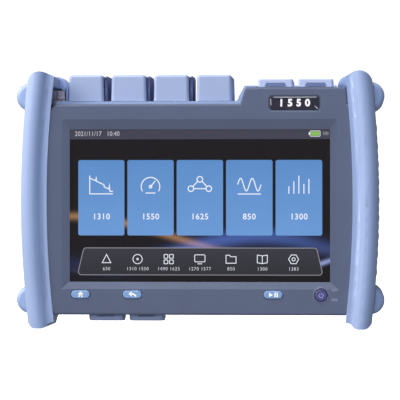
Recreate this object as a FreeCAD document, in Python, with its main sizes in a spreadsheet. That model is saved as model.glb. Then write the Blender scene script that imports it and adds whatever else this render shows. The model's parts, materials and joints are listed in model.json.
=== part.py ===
"""Optical time domain reflectometer: a handheld fibre tester with a 7 inch touch screen.

The part stands upright on its side bumpers. X runs along the screen, -Y is the screen side
and +Z is up. The origin is at the middle of the base. Lengths are in millimetres.
"""
import FreeCAD, Part
import math
import os
import re

import Sketcher
from FreeCAD import Placement, Rotation, Vector

os.makedirs("parts", exist_ok=True)
doc = FreeCAD.newDocument("FibreTester")

# ---------------------------------------------------------------- driving dimensions
DIMENSIONS = {
    # case
    "case_half": 97.0, "case_floor": 8.1, "deck_top": 134.7, "block_top": 144.6,
    "ramp_foot": 24.6, "ramp_head": 27.8, "block_right": 87.8, "rear_block_right": 82.5,
    "floor_chamfer": 9.6, "deck_chamfer": 10.3,
    "block_side_chamfer": 8.0, "block_lean": 0.8, "wall": 2.4,
    "front_face": -29.0, "seam_front": -20.0, "seam_back": -18.8, "rear_face": 29.0,
    "front_wall": 3.2, "edge_round": 1.6, "rear_round": 2.5, "rear_corner": 3.2, "block_round": 1.8,
    # screen
    "window_half": 78.3, "window_low": 27.9, "window_high": 119.7, "bevel_depth": 2.4,
    "bevel_side": 4.7, "bevel_low": 4.2, "bevel_high": 6.0,
    "glass_overlap": 2.0, "glass_thick": 1.4, "panel_thick": 1.8, "tray_thick": 4.6,
    # keys and lights
    "key_width": 11.4, "key_height": 4.8, "key_level": 20.4, "key_proud": 0.5,
    "home_x": -71.4, "back_x": -40.2, "run_x": 44.4, "key_gap": 0.45, "key_flange": 1.1,
    "power_x": 72.9, "power_level": 20.1, "power_radius": 3.6, "ring_inner": 3.95,
    "ring_outer": 4.8, "light_x": 80.9, "light_high": 23.3, "light_low": 17.5,
    "light_width": 3.6, "light_height": 1.3,
    # plate over the screen
    "plate_x": 57.0, "plate_level": 135.0, "plate_width": 30.0, "plate_height": 8.4,
    "plate_bevel": 0.9, "plate_corner": 1.2, "plate_recess": 1.4, "plate_thick": 1.1,
    # bumpers
    "mid_height": 77.0, "bow_radius": 640.0, "flank": 107.4, "roll_radius": 6.0,
    "roll_front": 29.0, "lip_edge": 91.7, "lip_face": 31.2, "cove_radius": 4.0,
    "total_height": 154.2, "top_nose_radius": 8.1, "top_nose_x": 95.6, "foot_flat": 0.35,
    "toe_nose_radius": 7.0, "toe_nose_x": 96.7,
    "nose_root": 86.0, "crest": 88.4, "toe_slant": 90.6, "guard_root": 70.0,
    "crest_drop": 2.9, "root_drop": 3.6, "toe_crest": 3.9, "toe_low": 3.1, "crown_radius": 11.5,
    "pad_x": 102.3, "pad_radius": 8.5, "pad_high": 139.3, "pad_low": 17.2, "pad_length": 53.0,
    "pad_round": 3.0, "niche_front": -27.0, "niche_depth": 94.2, "niche_top": 145.7,
    "hood_tip": 83.5, "hood_root": 94.6, "hood_radius": 6.2, "hood_sill": 143.7,
    "hood_bend": 88.3, "hood_front": -2.6, "hood_back": 18.4,
    "relief_start": -24.5, "relief_near": 89.6, "relief_far": 93.0,
    # port caps and small covers on top, covers underneath
    "trim_thick": 2.0, "block_trim": 1.5, "trim_film": 0.4, "trim_front": -18.4, "trim_back": 21.0,
    "trim_start": -87.4, "trim_step": -83.4,
    "cap_first": -69.4, "cap_pitch": 25.9, "cap_width": 21.6, "cap_front": -17.0,
    "cap_back": 22.0, "cap_gap": 0.3, "cap_tall": 15.8, "cap_wall": 1.8, "cap_draft": 1.6,
    "cap_round": 2.0, "cover_first": 45.3, "cover_pitch": 24.2, "cover_width": 21.2,
    "cover_tall": 5.0, "cover_wall": 1.6, "notch_width": 11.5, "notch_height": 2.1,
    "hatch_first": -57.3, "hatch_pitch": 24.5, "hatch_width": 20.9, "hatch_tall": 3.7,
    "hatch_notch_width": 10.8, "hatch_notch": 1.5, "notch_deep": 1.3,
    "hinge_back": 25.0, "hatch_hinge": 6.0, "hatch_back": 3.0, "pin_radius": 0.9,
    "pin_running": 0.05, "knuckle_radius": 2.0, "lug_width": 8.0, "lug_gap": 0.35,
    "cap_axis": 3.7, "cover_axis": 2.9, "hatch_axis": 3.1,
    # optical ports
    "port_depth": -2.5, "barrel_radius": 4.0, "ferrule_radius": 1.26, "ferrule_depth": 12.0,
    "adapter_flange": 13.0, "adapter_top": 147.0, "port_hole": 5.2,
    "module_low": 104.0, "module_top": 130.0, "module_front": -9.0,
    # electrical sockets
    "io_board_level": 126.0, "jack_clear": 1.8, "board_thick": 1.6, "power_board_level": 20.0,
    # rear
    "stand_half": 50.0, "stand_low": 18.0, "stand_axis": 96.0, "stand_thick": 3.6,
    "recess_depth": 4.8, "stand_gap": 0.6, "stand_pin": 1.0,
    "door_half": 43.0, "door_low": 24.0, "door_high": 88.0, "door_thick": 1.4,
    "door_edge": 2.4, "door_screw": 1.0, "door_screw_head": 1.8, "door_screw_length": 5.5,
    "door_sink": 0.7,
    "scoop_half": 11.0, "bay_front": 3.0, "bay_wall": 4.4,
    # strap lugs
    "lug_inner": 83.9, "lug_outer": 93.7, "lug_front": -0.4, "lug_back": 16.0,
    "lug_top": 144.9, "lug_bead": 138.6, "lug_seam_high": 89.1, "lug_seam_low": 86.4,
    "strap_pin": 2.0, "strap_pin_deep": 12.0, "strap_pin_level": 140.2,
    # inner layout
    "case_screw_x": 84.8, "case_screw_low": 22.0, "case_screw_high": 122.0,
    "post_radius": 2.8, "screw_radius": 1.3, "screw_head": 2.6, "screw_bite": 5.0,
    "screw_seat": -9.6, "key_board_front": -20.0, "key_stem": 1.4, "board_front": -14.0,
    "board_low": 28.0, "board_high": 118.0, "board_screw_x": 76.0, "board_screw_low": 33.0,
    "board_screw_high": 113.0, "lan_half": 8.0, "usb_half": 7.2, "socket_front": -11.0,
    "socket_back": 5.0, "hatch_half": 8.2, "hatch_front": -14.0, "hatch_end": 0.6,
    "jack_depth": -7.0, "card_half": 7.2,
    "tray_front": 21.8, "stand_depth": 26.4, "scoop_drop": 6.5,
}

sheet = doc.addObject("Spreadsheet::Sheet", "dims")
for row, (alias, number) in enumerate(DIMENSIONS.items(), start=1):
    sheet.set(f"A{row}", alias.replace("_", " "))
    sheet.set(f"B{row}", str(number))
    sheet.setAlias(f"B{row}", alias)
doc.recompute()

PIECES = []


# ---------------------------------------------------------------- helpers
def linked(text):
    """Point each dimension's name in an expression at its cell."""
    return re.sub(r"[a-z_]+", lambda word: "dims." + word.group() if word.group() in DIMENSIONS
                  else word.group(), str(text))


def size(text):
    """The value of an expression now."""
    return float(sheet.evalExpression(str(text)))


def bind(thing, prop, text):
    """Bind a property to an expression of the sheet's cells."""
    thing.setExpression(prop, linked(text))


def keep(thing, label):
    """Name a finished sub-part after its node."""
    thing.Label = label
    PIECES.append(thing)
    return thing


def new_body(label):
    return keep(doc.addObject("PartDesign::Body", label), label)


def sketch_on(body, name, role, offset):
    """A sketch on one of the body's origin planes, moved along the plane's normal."""
    plane = [item for item in body.Origin.OriginFeatures if item.Role == role][0]
    sketch = body.newObject("Sketcher::SketchObject", body.Name + "_" + name)
    sketch.AttachmentSupport = [(plane, "")]
    sketch.MapMode = "FlatFace"
    bind(sketch, "AttachmentOffset.Base.z", offset)
    return sketch


def front_sketch(body, name, depth):
    """A sketch seen from the front: its x is X, its y is Z, and it stands at Y = depth."""
    return sketch_on(body, name, "XZ_Plane", f"-({depth})")


def level_sketch(body, name, level):
    """A sketch seen from above: its x is X, its y is Y, and it lies at Z = level."""
    return sketch_on(body, name, "XY_Plane", level)


def side_sketch(body, name, across):
    """A sketch seen from the right: its x is Y, its y is Z, and it stands at X = across."""
    return sketch_on(body, name, "YZ_Plane", across)


def hold(sketch, kind, geometry, corner, text):
    """Bind the distance of a point from the sketch's origin along x or y."""
    index = sketch.addConstraint(
        Sketcher.Constraint(kind, -1, 1, geometry, corner, size(text)))
    name = f"c{index}"
    sketch.renameConstraint(index, name)
    bind(sketch, "Constraints." + name, text)


def minor_arc(start, end, radius):
    """The short arc from start to end; a positive radius bulges to the left of the way."""
    chord = end - start
    right = Vector(chord.y, -chord.x, 0).normalize()
    depth = math.sqrt(max(radius ** 2 - chord.Length ** 2 / 4, 0))
    centre = (start + end) * 0.5 + right * math.copysign(depth, radius)
    first, last = (end, start) if radius > 0 else (start, end)
    angles = [math.atan2(spot.y - centre.y, spot.x - centre.x) for spot in (first, last)]
    if angles[1] < angles[0]:
        angles[1] += 2 * math.pi
    return Part.ArcOfCircle(Part.Circle(centre, Vector(0, 0, 1), abs(radius)), *angles)


def outline(sketch, corners):
    """A closed outline. Each corner is (x, y), or (x, y, radius) to reach it along an arc."""
    spots = [Vector(size(corner[0]), size(corner[1]), 0) for corner in corners]
    ends = []
    for i, corner in enumerate(corners):
        start, end = spots[i - 1], spots[i]
        if len(corner) == 2:
            index = sketch.addGeometry(Part.LineSegment(start, end), False)
        else:
            index = sketch.addGeometry(minor_arc(start, end, size(corner[2])), False)
        first = sketch.Geometry[index].StartPoint
        forward = first.distanceToPoint(start) < first.distanceToPoint(end)
        ends.append((index, 1 if forward else 2, 2 if forward else 1))
    for i, corner in enumerate(corners):
        index, _, finish = ends[i]
        following, begin, _ = ends[(i + 1) % len(ends)]
        sketch.addConstraint(Sketcher.Constraint("Coincident", index, finish, following, begin))
        hold(sketch, "DistanceX", index, finish, corner[0])
        hold(sketch, "DistanceY", index, finish, corner[1])
        if len(corner) == 3:
            radius = sketch.addConstraint(
                Sketcher.Constraint("Radius", index, abs(size(corner[2]))))
            sketch.renameConstraint(radius, f"r{radius}")
            bind(sketch, f"Constraints.r{radius}", f"abs({corner[2]})")
    return sketch


def rectangle(sketch, x_low, x_high, y_low, y_high):
    return outline(sketch, [(x_low, y_low), (x_high, y_low), (x_high, y_high), (x_low, y_high)])


def pill(sketch, x, y, width, height):
    """A slot with round ends, width along x."""
    centre_y, radius = size(y), size(height) / 2
    half = (size(width) - size(height)) / 2
    ends = [Vector(size(x) + half, centre_y, 0), Vector(size(x) - half, centre_y, 0)]
    lift = Vector(0, radius, 0)
    right = sketch.addGeometry(Part.ArcOfCircle(
        Part.Circle(ends[0], Vector(0, 0, 1), radius), -math.pi / 2, math.pi / 2), False)
    top = sketch.addGeometry(Part.LineSegment(ends[0] + lift, ends[1] + lift), False)
    left = sketch.addGeometry(Part.ArcOfCircle(
        Part.Circle(ends[1], Vector(0, 0, 1), radius), math.pi / 2, 3 * math.pi / 2), False)
    base = sketch.addGeometry(Part.LineSegment(ends[1] - lift, ends[0] - lift), False)
    for first, end, second, start in ((right, 2, top, 1), (top, 2, left, 1),
                                      (left, 2, base, 1), (base, 2, right, 1)):
        sketch.addConstraint(Sketcher.Constraint("Tangent", first, end, second, start))
    reach = f"(({width}) - ({height})) / 2"
    hold(sketch, "DistanceX", right, 3, f"({x}) + {reach}")
    hold(sketch, "DistanceX", left, 3, f"({x}) - {reach}")
    hold(sketch, "DistanceY", right, 3, y)
    hold(sketch, "DistanceY", left, 3, y)
    tag = sketch.addConstraint(Sketcher.Constraint("Radius", right, radius))
    sketch.renameConstraint(tag, f"r{tag}")
    bind(sketch, f"Constraints.r{tag}", f"({height}) / 2")
    return sketch


def circle(sketch, x, y, radius):
    index = sketch.addGeometry(
        Part.Circle(Vector(size(x), size(y), 0), Vector(0, 0, 1), size(radius)), False)
    hold(sketch, "DistanceX", index, 3, x)
    hold(sketch, "DistanceY", index, 3, y)
    tag = sketch.addConstraint(Sketcher.Constraint("Radius", index, size(radius)))
    sketch.renameConstraint(tag, f"r{tag}")
    bind(sketch, f"Constraints.r{tag}", radius)
    return sketch


def add(body, sketch, length, towards_back=False, both=False, draft=None):
    """Pad a sketch. Front sketches grow to the back with towards_back."""
    pad = body.newObject("PartDesign::Pad", sketch.Name + "_pad")
    pad.Profile = sketch
    pad.Length = size(length)
    bind(pad, "Length", length)
    pad.Reversed = towards_back
    pad.Midplane = both
    if draft is not None:
        bind(pad, "TaperAngle", draft)
    sketch.Visibility = False
    doc.recompute()
    return pad


def cut(body, sketch, length, turned=False, both=False):
    """Pocket a sketch, and make sure that it took material away."""
    before = body.Shape.Volume
    pocket = body.newObject("PartDesign::Pocket", sketch.Name + "_pocket")
    pocket.Profile = sketch
    pocket.Length = size(length)
    bind(pocket, "Length", length)
    pocket.Reversed = turned
    pocket.Midplane = both
    doc.recompute()
    if body.Shape.Volume >= before - 1e-6:
        raise RuntimeError(pocket.Name + " cuts nothing")
    return pocket


def edges_where(shape, test):
    """Names of the edges whose points at both ends and the middle pass the test."""
    names = []
    for number, edge in enumerate(shape.Edges, start=1):
        low, high = edge.ParameterRange
        points = [edge.valueAt(low + (high - low) * part) for part in (0.02, 0.5, 0.98)]
        if all(test(point) for point in points):
            names.append(f"Edge{number}")
    if not names:
        raise RuntimeError("no edge passes")
    return names


def soften(body, test, radius, kind="Fillet"):
    """Round or chamfer the edges that pass the test."""
    base = body.Tip
    feature = body.newObject("PartDesign::" + kind, body.Name + "_" + kind.lower())
    feature.Base = (base, edges_where(base.Shape, test))
    prop = "Radius" if kind == "Fillet" else "Size"
    setattr(feature, prop, size(radius))
    bind(feature, prop, radius)
    doc.recompute()
    if "Invalid" in feature.State or not feature.Shape.isValid():
        raise RuntimeError(feature.Name + " failed")
    return feature


def near(number, text, slack=0.02):
    return abs(number - size(text)) < slack


def block(name, x_low, x_high, y_low, y_high, z_low, z_high):
    """A box from its limits along each axis."""
    box = doc.addObject("Part::Box", name)
    for prop, place, low, high in (("Length", "x", x_low, x_high), ("Width", "y", y_low, y_high),
                                   ("Height", "z", z_low, z_high)):
        bind(box, prop, f"({high}) - ({low})")
        bind(box, "Placement.Base." + place, low)
    doc.recompute()
    return box


def rod(name, axis, centre, start, length, radius):
    """A cylinder along axis X, Y or Z. centre gives the other two places in order."""
    bar = doc.addObject("Part::Cylinder", name)
    bind(bar, "Radius", radius)
    bind(bar, "Height", length)
    turns = {"X": Rotation(Vector(0, 1, 0), 90), "Y": Rotation(Vector(1, 0, 0), -90),
             "Z": Rotation()}
    bar.Placement = Placement(Vector(), turns[axis])
    others = iter(centre)
    for place in "xyz":
        text = start if place == axis.lower() else next(others)
        bind(bar, "Placement.Base." + place, text)
    doc.recompute()
    return bar


def joined(name, shapes):
    fuse = doc.addObject("Part::MultiFuse", name)
    fuse.Shapes = shapes
    fuse.Refine = True
    doc.recompute()
    return fuse


def less(name, base, tools):
    """Base with every tool taken out of it."""
    result = doc.addObject("Part::Cut", name)
    result.Base = base
    result.Tool = tools[0] if len(tools) == 1 else joined(name + "_tools", tools)
    result.Refine = True
    doc.recompute()
    return result


def group(name, shapes):
    """Separate solids that share one node."""
    compound = doc.addObject("Part::Compound", name)
    compound.Links = shapes
    doc.recompute()
    return compound


# ---------------------------------------------------------------- shared outlines
def case_outline(inset, left_cut, right_cut, right):
    """The case seen from the front, drawn in by inset. The cuts chamfer the deck's corners."""
    side, floor = f"(case_half - {inset})", f"(case_floor + {inset})"
    deck, top = f"(deck_top - {inset})", f"(block_top - {inset})"
    low, high_left, high_right = (f"({name} + 0.414 * {inset})"
                                  for name in ("floor_chamfer", left_cut, right_cut))
    return [
        (f"{low} - case_half", floor), (f"case_half - {low}", floor),
        (side, f"case_floor + {low}"), (side, f"deck_top - {high_right}"),
        (f"case_half - {high_right}", deck), (f"{right} + block_lean - {inset}", deck),
        (f"{right} - {inset}", top), (f"ramp_head + {inset}", top), (f"ramp_foot + {inset}", deck),
        (f"{high_left} - case_half", deck), (f"-{side}", f"deck_top - {high_left}"),
        (f"-{side}", f"case_floor + {low}")]


# ---------------------------------------------------------------- case
SCREW_SPOTS = [(side, level) for side in ("-case_screw_x", "case_screw_x")
               for level in ("case_screw_low", "case_screw_high")]
CAP_SPOTS = [f"(cap_first + {number} * cap_pitch)" for number in range(4)]
COVER_SPOTS = ["cover_first", "(cover_first + cover_pitch)"]
HATCH_SPOTS = ["hatch_first", "(hatch_first + hatch_pitch)"]
DOOR_SCREWS = [(x, z) for x in ("door_edge - door_half", "door_half - door_edge")
               for z in ("door_low + door_edge", "door_high - door_edge")]


def plate_outline(inset):
    """The plate over the screen seen from the front: a long rectangle with cut corners."""
    left, right = (f"(plate_x {sign} (plate_width / 2 - {inset}))" for sign in "-+")
    low, high = (f"(plate_level {sign} (plate_height / 2 - {inset}))" for sign in "-+")
    cut_off = f"(plate_corner - 0.586 * {inset})"
    return [(f"{left} + {cut_off}", low), (f"{right} - {cut_off}", low),
            (right, f"{low} + {cut_off}"), (right, f"{high} - {cut_off}"),
            (f"{right} - {cut_off}", high), (f"{left} + {cut_off}", high),
            (left, f"{high} - {cut_off}"), (left, f"{low} + {cut_off}")]


def lofted_pocket(body, name, outer, inner):
    """Take out the space between two sketches, such as a bevelled frame."""
    loft = body.newObject("PartDesign::SubtractiveLoft", body.Name + "_" + name)
    loft.Profile = outer
    loft.Sections = [inner]
    loft.Ruled = True
    doc.recompute()
    return loft


def front_cover():
    """Shallow front half: bevelled window, key holes, plate recess and screw posts."""
    body = new_body("front_cover")
    shape = outline(front_sketch(body, "outline", "front_face"),
                    case_outline("0", "deck_chamfer", "block_side_chamfer", "block_right"))
    add(body, shape, "seam_front - front_face", towards_back=True)
    soften(body, lambda p: near(p.z, "block_top") and (
        near(p.x, "ramp_head") or near(p.x, "block_right")), "block_round")
    soften(body, lambda p: near(p.y, "front_face"), "edge_round")
    hollow = outline(front_sketch(body, "hollow", "seam_front"),
                     case_outline("wall", "deck_chamfer", "block_side_chamfer", "block_right"))
    cut(body, hollow, "seam_front - front_face - front_wall", turned=True)
    outer = rectangle(front_sketch(body, "bevel_outer", "front_face - 0.01"),
                      "-window_half - bevel_side", "window_half + bevel_side",
                      "window_low - bevel_low", "window_high + bevel_high")
    inner = rectangle(front_sketch(body, "bevel_inner", "front_face + bevel_depth"),
                      "-window_half", "window_half", "window_low", "window_high")
    lofted_pocket(body, "bevel", outer, inner)
    window = rectangle(front_sketch(body, "window", "front_face + bevel_depth - 0.1"),
                       "-window_half", "window_half", "window_low", "window_high")
    cut(body, window, "front_wall")
    for name in ("home", "back", "run"):
        slot = pill(front_sketch(body, name + "_slot", "front_face"), name + "_x", "key_level",
                    "key_width + 2 * key_gap", "key_height + 2 * key_gap")
        cut(body, slot, "front_wall")
    hole = circle(front_sketch(body, "power_hole", "front_face"), "power_x", "power_level",
                  "ring_outer")
    cut(body, hole, "front_wall")
    for name in ("light_high", "light_low"):
        slot = pill(front_sketch(body, name + "_slot", "front_face"), "light_x", name,
                    "light_width", "light_height")
        cut(body, slot, "front_wall")
    recess = outline(front_sketch(body, "plate_recess", "front_face"), plate_outline("0"))
    cut(body, recess, "plate_recess")
    soften(body, lambda p: near(p.y, "front_face") and abs(p.x - size("plate_x")) < 15.1
           and abs(p.z - size("plate_level")) < 4.3, "plate_bevel", "Chamfer")
    posts = front_sketch(body, "posts", "front_face + front_wall")
    for x, z in SCREW_SPOTS:
        circle(posts, x, z, "post_radius")
    add(body, posts, "seam_back - front_face - front_wall", towards_back=True)
    key_posts = front_sketch(body, "key_posts", "front_face + front_wall")
    for x in ("(home_x + back_x) / 2", "(back_x + run_x) / 2", "(run_x + power_x) / 2"):
        circle(key_posts, x, "key_level - 1", "1.8")
    add(body, key_posts, "key_board_front - front_face - front_wall", towards_back=True)
    holes = front_sketch(body, "screw_holes", "seam_back")
    for x, z in SCREW_SPOTS:
        circle(holes, x, z, "screw_radius")
    cut(body, holes, "screw_bite", turned=True)


def hinge_lugs(body, name, spots, level, axis, hinge, top):
    """One lug behind each cap, with a round end about the pin, and the pin's bore."""
    base = f"{level} - {0.5 if top else -0.5}"
    end = f"({level} {'+' if top else '-'} {axis})"
    for number, spot in enumerate(spots, start=1):
        sketch = side_sketch(body, f"{name}_lug_{number}", spot)
        low, high = f"{hinge} - knuckle_radius", f"{hinge} + knuckle_radius"
        if top:
            outline(sketch, [(low, base), (high, base), (high, end),
                             (low, end + " + 0.001", "-knuckle_radius - 0.001")])
        else:
            outline(sketch, [(high, base), (low, base), (low, end),
                             (high, end + " - 0.001", "-knuckle_radius - 0.001")])
        add(body, sketch, "lug_width", both=True)
    middle = f"({spots[0]} + {spots[-1]}) / 2"
    bore = circle(side_sketch(body, name + "_pin_bore", middle), hinge, end, "pin_radius")
    cut(body, bore, f"{spots[-1]} - {spots[0]} + 1.5 * lug_width", both=True)


def rear_cover():
    """Deep rear half: hinge lugs, port holes, battery bay, stand recess and screw posts."""
    body = new_body("rear_cover")
    shape = outline(front_sketch(body, "outline", "seam_back"),
                    case_outline("0", "rear_corner", "rear_corner", "block_right"))
    add(body, shape, "rear_face - seam_back", towards_back=True)
    notch = rectangle(level_sketch(body, "lug_notch", "block_top"), "rear_block_right",
                      "case_half", "niche_front", "rear_face + 1")
    cut(body, notch, "block_top - deck_top")
    soften(body, lambda p: near(p.z, "block_top") and near(p.x, "ramp_head"), "block_round")
    soften(body, lambda p: near(p.y, "rear_face"), "rear_round")
    hollow = outline(front_sketch(body, "hollow", "seam_back"), [
        ("floor_chamfer - case_half + 1", "case_floor + wall"),
        ("case_half - floor_chamfer - 1", "case_floor + wall"),
        ("case_half - wall", "case_floor + floor_chamfer + 1"),
        ("case_half - wall", "deck_top - wall"), ("wall - case_half", "deck_top - wall"),
        ("wall - case_half", "case_floor + floor_chamfer + 1")])
    cut(body, hollow, "rear_face - wall - seam_back")
    loft = rectangle(front_sketch(body, "block_hollow", "seam_back"),
                     "ramp_head + wall + 0.6", "rear_block_right - wall",
                     "deck_top - 2 * wall", "block_top - wall")
    cut(body, loft, "rear_face - wall - seam_back")
    ports = level_sketch(body, "port_holes", "deck_top")
    for spot in CAP_SPOTS:
        circle(ports, spot, "port_depth", "port_hole")
    cut(body, ports, "wall")
    sockets = level_sketch(body, "socket_windows", "block_top")
    for spot, half in zip(COVER_SPOTS, ("lan_half + 0.3", "usb_half + 0.3")):
        rectangle(sockets, f"{spot} - ({half})", f"{spot} + {half}",
                  "socket_front - 0.3", "socket_back + 0.3")
    cut(body, sockets, "wall")
    hatches = level_sketch(body, "hatch_windows", "case_floor")
    for spot in HATCH_SPOTS:
        rectangle(hatches, f"{spot} - hatch_half", f"{spot} + hatch_half",
                  "hatch_front", "hatch_end")
    cut(body, hatches, "wall", turned=True)
    # battery bay, its floor and the tray behind the folded stand
    tray = rectangle(front_sketch(body, "stand_tray", "tray_front"), "-stand_half - 6",
                     "stand_half + 6", "case_floor + 1", "stand_axis + 6")
    add(body, tray, "rear_face - wall - tray_front", towards_back=True)
    bay = rectangle(front_sketch(body, "bay", "bay_front"), "-door_half + 0.2",
                    "door_half - 0.2", "door_low + 0.2", "door_high - 0.2")
    add(body, bay, "tray_front - bay_front", towards_back=True)
    recess = rectangle(front_sketch(body, "stand_recess", "rear_face"),
                       "-stand_half - stand_gap", "stand_half + stand_gap",
                       "stand_low - stand_gap", "stand_axis + stand_thick / 2 + 1")
    cut(body, recess, "recess_depth", turned=True)
    scoop = pill(front_sketch(body, "finger_scoop", "rear_face"), "0", "stand_low",
                 "2 * scoop_half", "2 * scoop_drop")
    cut(body, scoop, "recess_depth", turned=True)
    rebate = rectangle(front_sketch(body, "door_rebate", "rear_face - recess_depth"),
                       "-door_half", "door_half", "door_low", "door_high")
    cut(body, rebate, "door_thick", turned=True)
    well = rectangle(front_sketch(body, "battery_well", "rear_face - recess_depth"),
                     "-door_half + bay_wall", "door_half - bay_wall",
                     "door_low + bay_wall", "door_high - bay_wall")
    cut(body, well, "rear_face - recess_depth - bay_front - 1.8", turned=True)
    taps = front_sketch(body, "door_screw_holes", "rear_face - recess_depth - door_thick")
    for x, z in DOOR_SCREWS:
        circle(taps, x, z, "door_screw")
    cut(body, taps, "door_screw_length - door_thick", turned=True)
    pin = circle(side_sketch(body, "stand_pin_bore", "0"), "stand_depth", "stand_axis",
                 "stand_pin")
    cut(body, pin, "2 * (stand_half + 4)", both=True)
    # screw posts, deep counterbores
    posts = front_sketch(body, "posts", "seam_back")
    for x, z in SCREW_SPOTS:
        circle(posts, x, z, "post_radius + 1.4")
    add(body, posts, "rear_face - wall - seam_back", towards_back=True)
    shafts = front_sketch(body, "screw_shafts", "seam_back")
    sinks = front_sketch(body, "screw_sinks", "rear_face")
    for x, z in SCREW_SPOTS:
        circle(shafts, x, z, "screw_radius + 0.2")
        circle(sinks, x, z, "screw_head + 0.4")
    cut(body, shafts, "screw_seat - seam_back + 1")
    cut(body, sinks, "rear_face - screw_seat", turned=True)
    for name, spots, level, axis, hinge, top in (
            ("cap", CAP_SPOTS, "deck_top", "cap_axis", "hinge_back", True),
            ("cover", COVER_SPOTS, "block_top", "cover_axis", "hinge_back", True),
            ("hatch", HATCH_SPOTS, "case_floor", "hatch_axis", "hatch_hinge", False)):
        hinge_lugs(body, name, spots, level, axis, hinge, top)


def case_seal():
    """Thin gasket between the halves."""
    body = new_body("case_seal")
    ring = front_sketch(body, "outer", "seam_front")
    outline(ring, case_outline("0.5", "deck_chamfer", "block_side_chamfer", "block_right"))
    add(body, ring, "seam_back - seam_front", towards_back=True)
    inner = front_sketch(body, "inner", "seam_front")
    outline(inner, case_outline("wall", "deck_chamfer", "block_side_chamfer", "block_right"))
    cut(body, inner, "seam_back - seam_front")


# ---------------------------------------------------------------- side bumpers
def turn_section(body, section, angle):
    """Revolve a level section about its own y axis, to both sides of its plane."""
    turned = body.newObject("PartDesign::Revolution", section.Name + "_turned")
    turned.Profile = section
    turned.ReferenceAxis = (section, ["V_Axis"])
    turned.Angle = angle
    turned.Midplane = True
    doc.recompute()
    return turned


def corner_pad(body, name):
    """Round pad on the bumper's flank, a drum about an axis along Y with rounded rims."""
    section = level_sketch(body, name, name)
    bind(section, "AttachmentOffset.Base.x", "pad_x")
    end, rim = "pad_length / 2", "(pad_radius - pad_round)"
    outline(section, [
        ("0", f"-{end}"), (rim, f"-{end}"), ("pad_radius", f"pad_round - {end}", "-pad_round"),
        ("pad_radius", f"{end} - pad_round"), (rim, end, "-pad_round"), ("0", end)])
    turn_section(body, section, 360)


def toe_relief(body, name, depth, reach, climb):
    """Outline of the hollow under the case floor; it meets the case's lower chamfer."""
    return outline(front_sketch(body, name, depth), [
        ("nose_root - 2", "-2"), (f"{reach} + 1.9", "-2"), (reach, "toe_crest + 0.3"),
        (f"case_half - floor_chamfer + {climb}", f"case_floor + {climb}"),
        ("nose_root - 2", f"case_floor + {climb}")])


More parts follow.
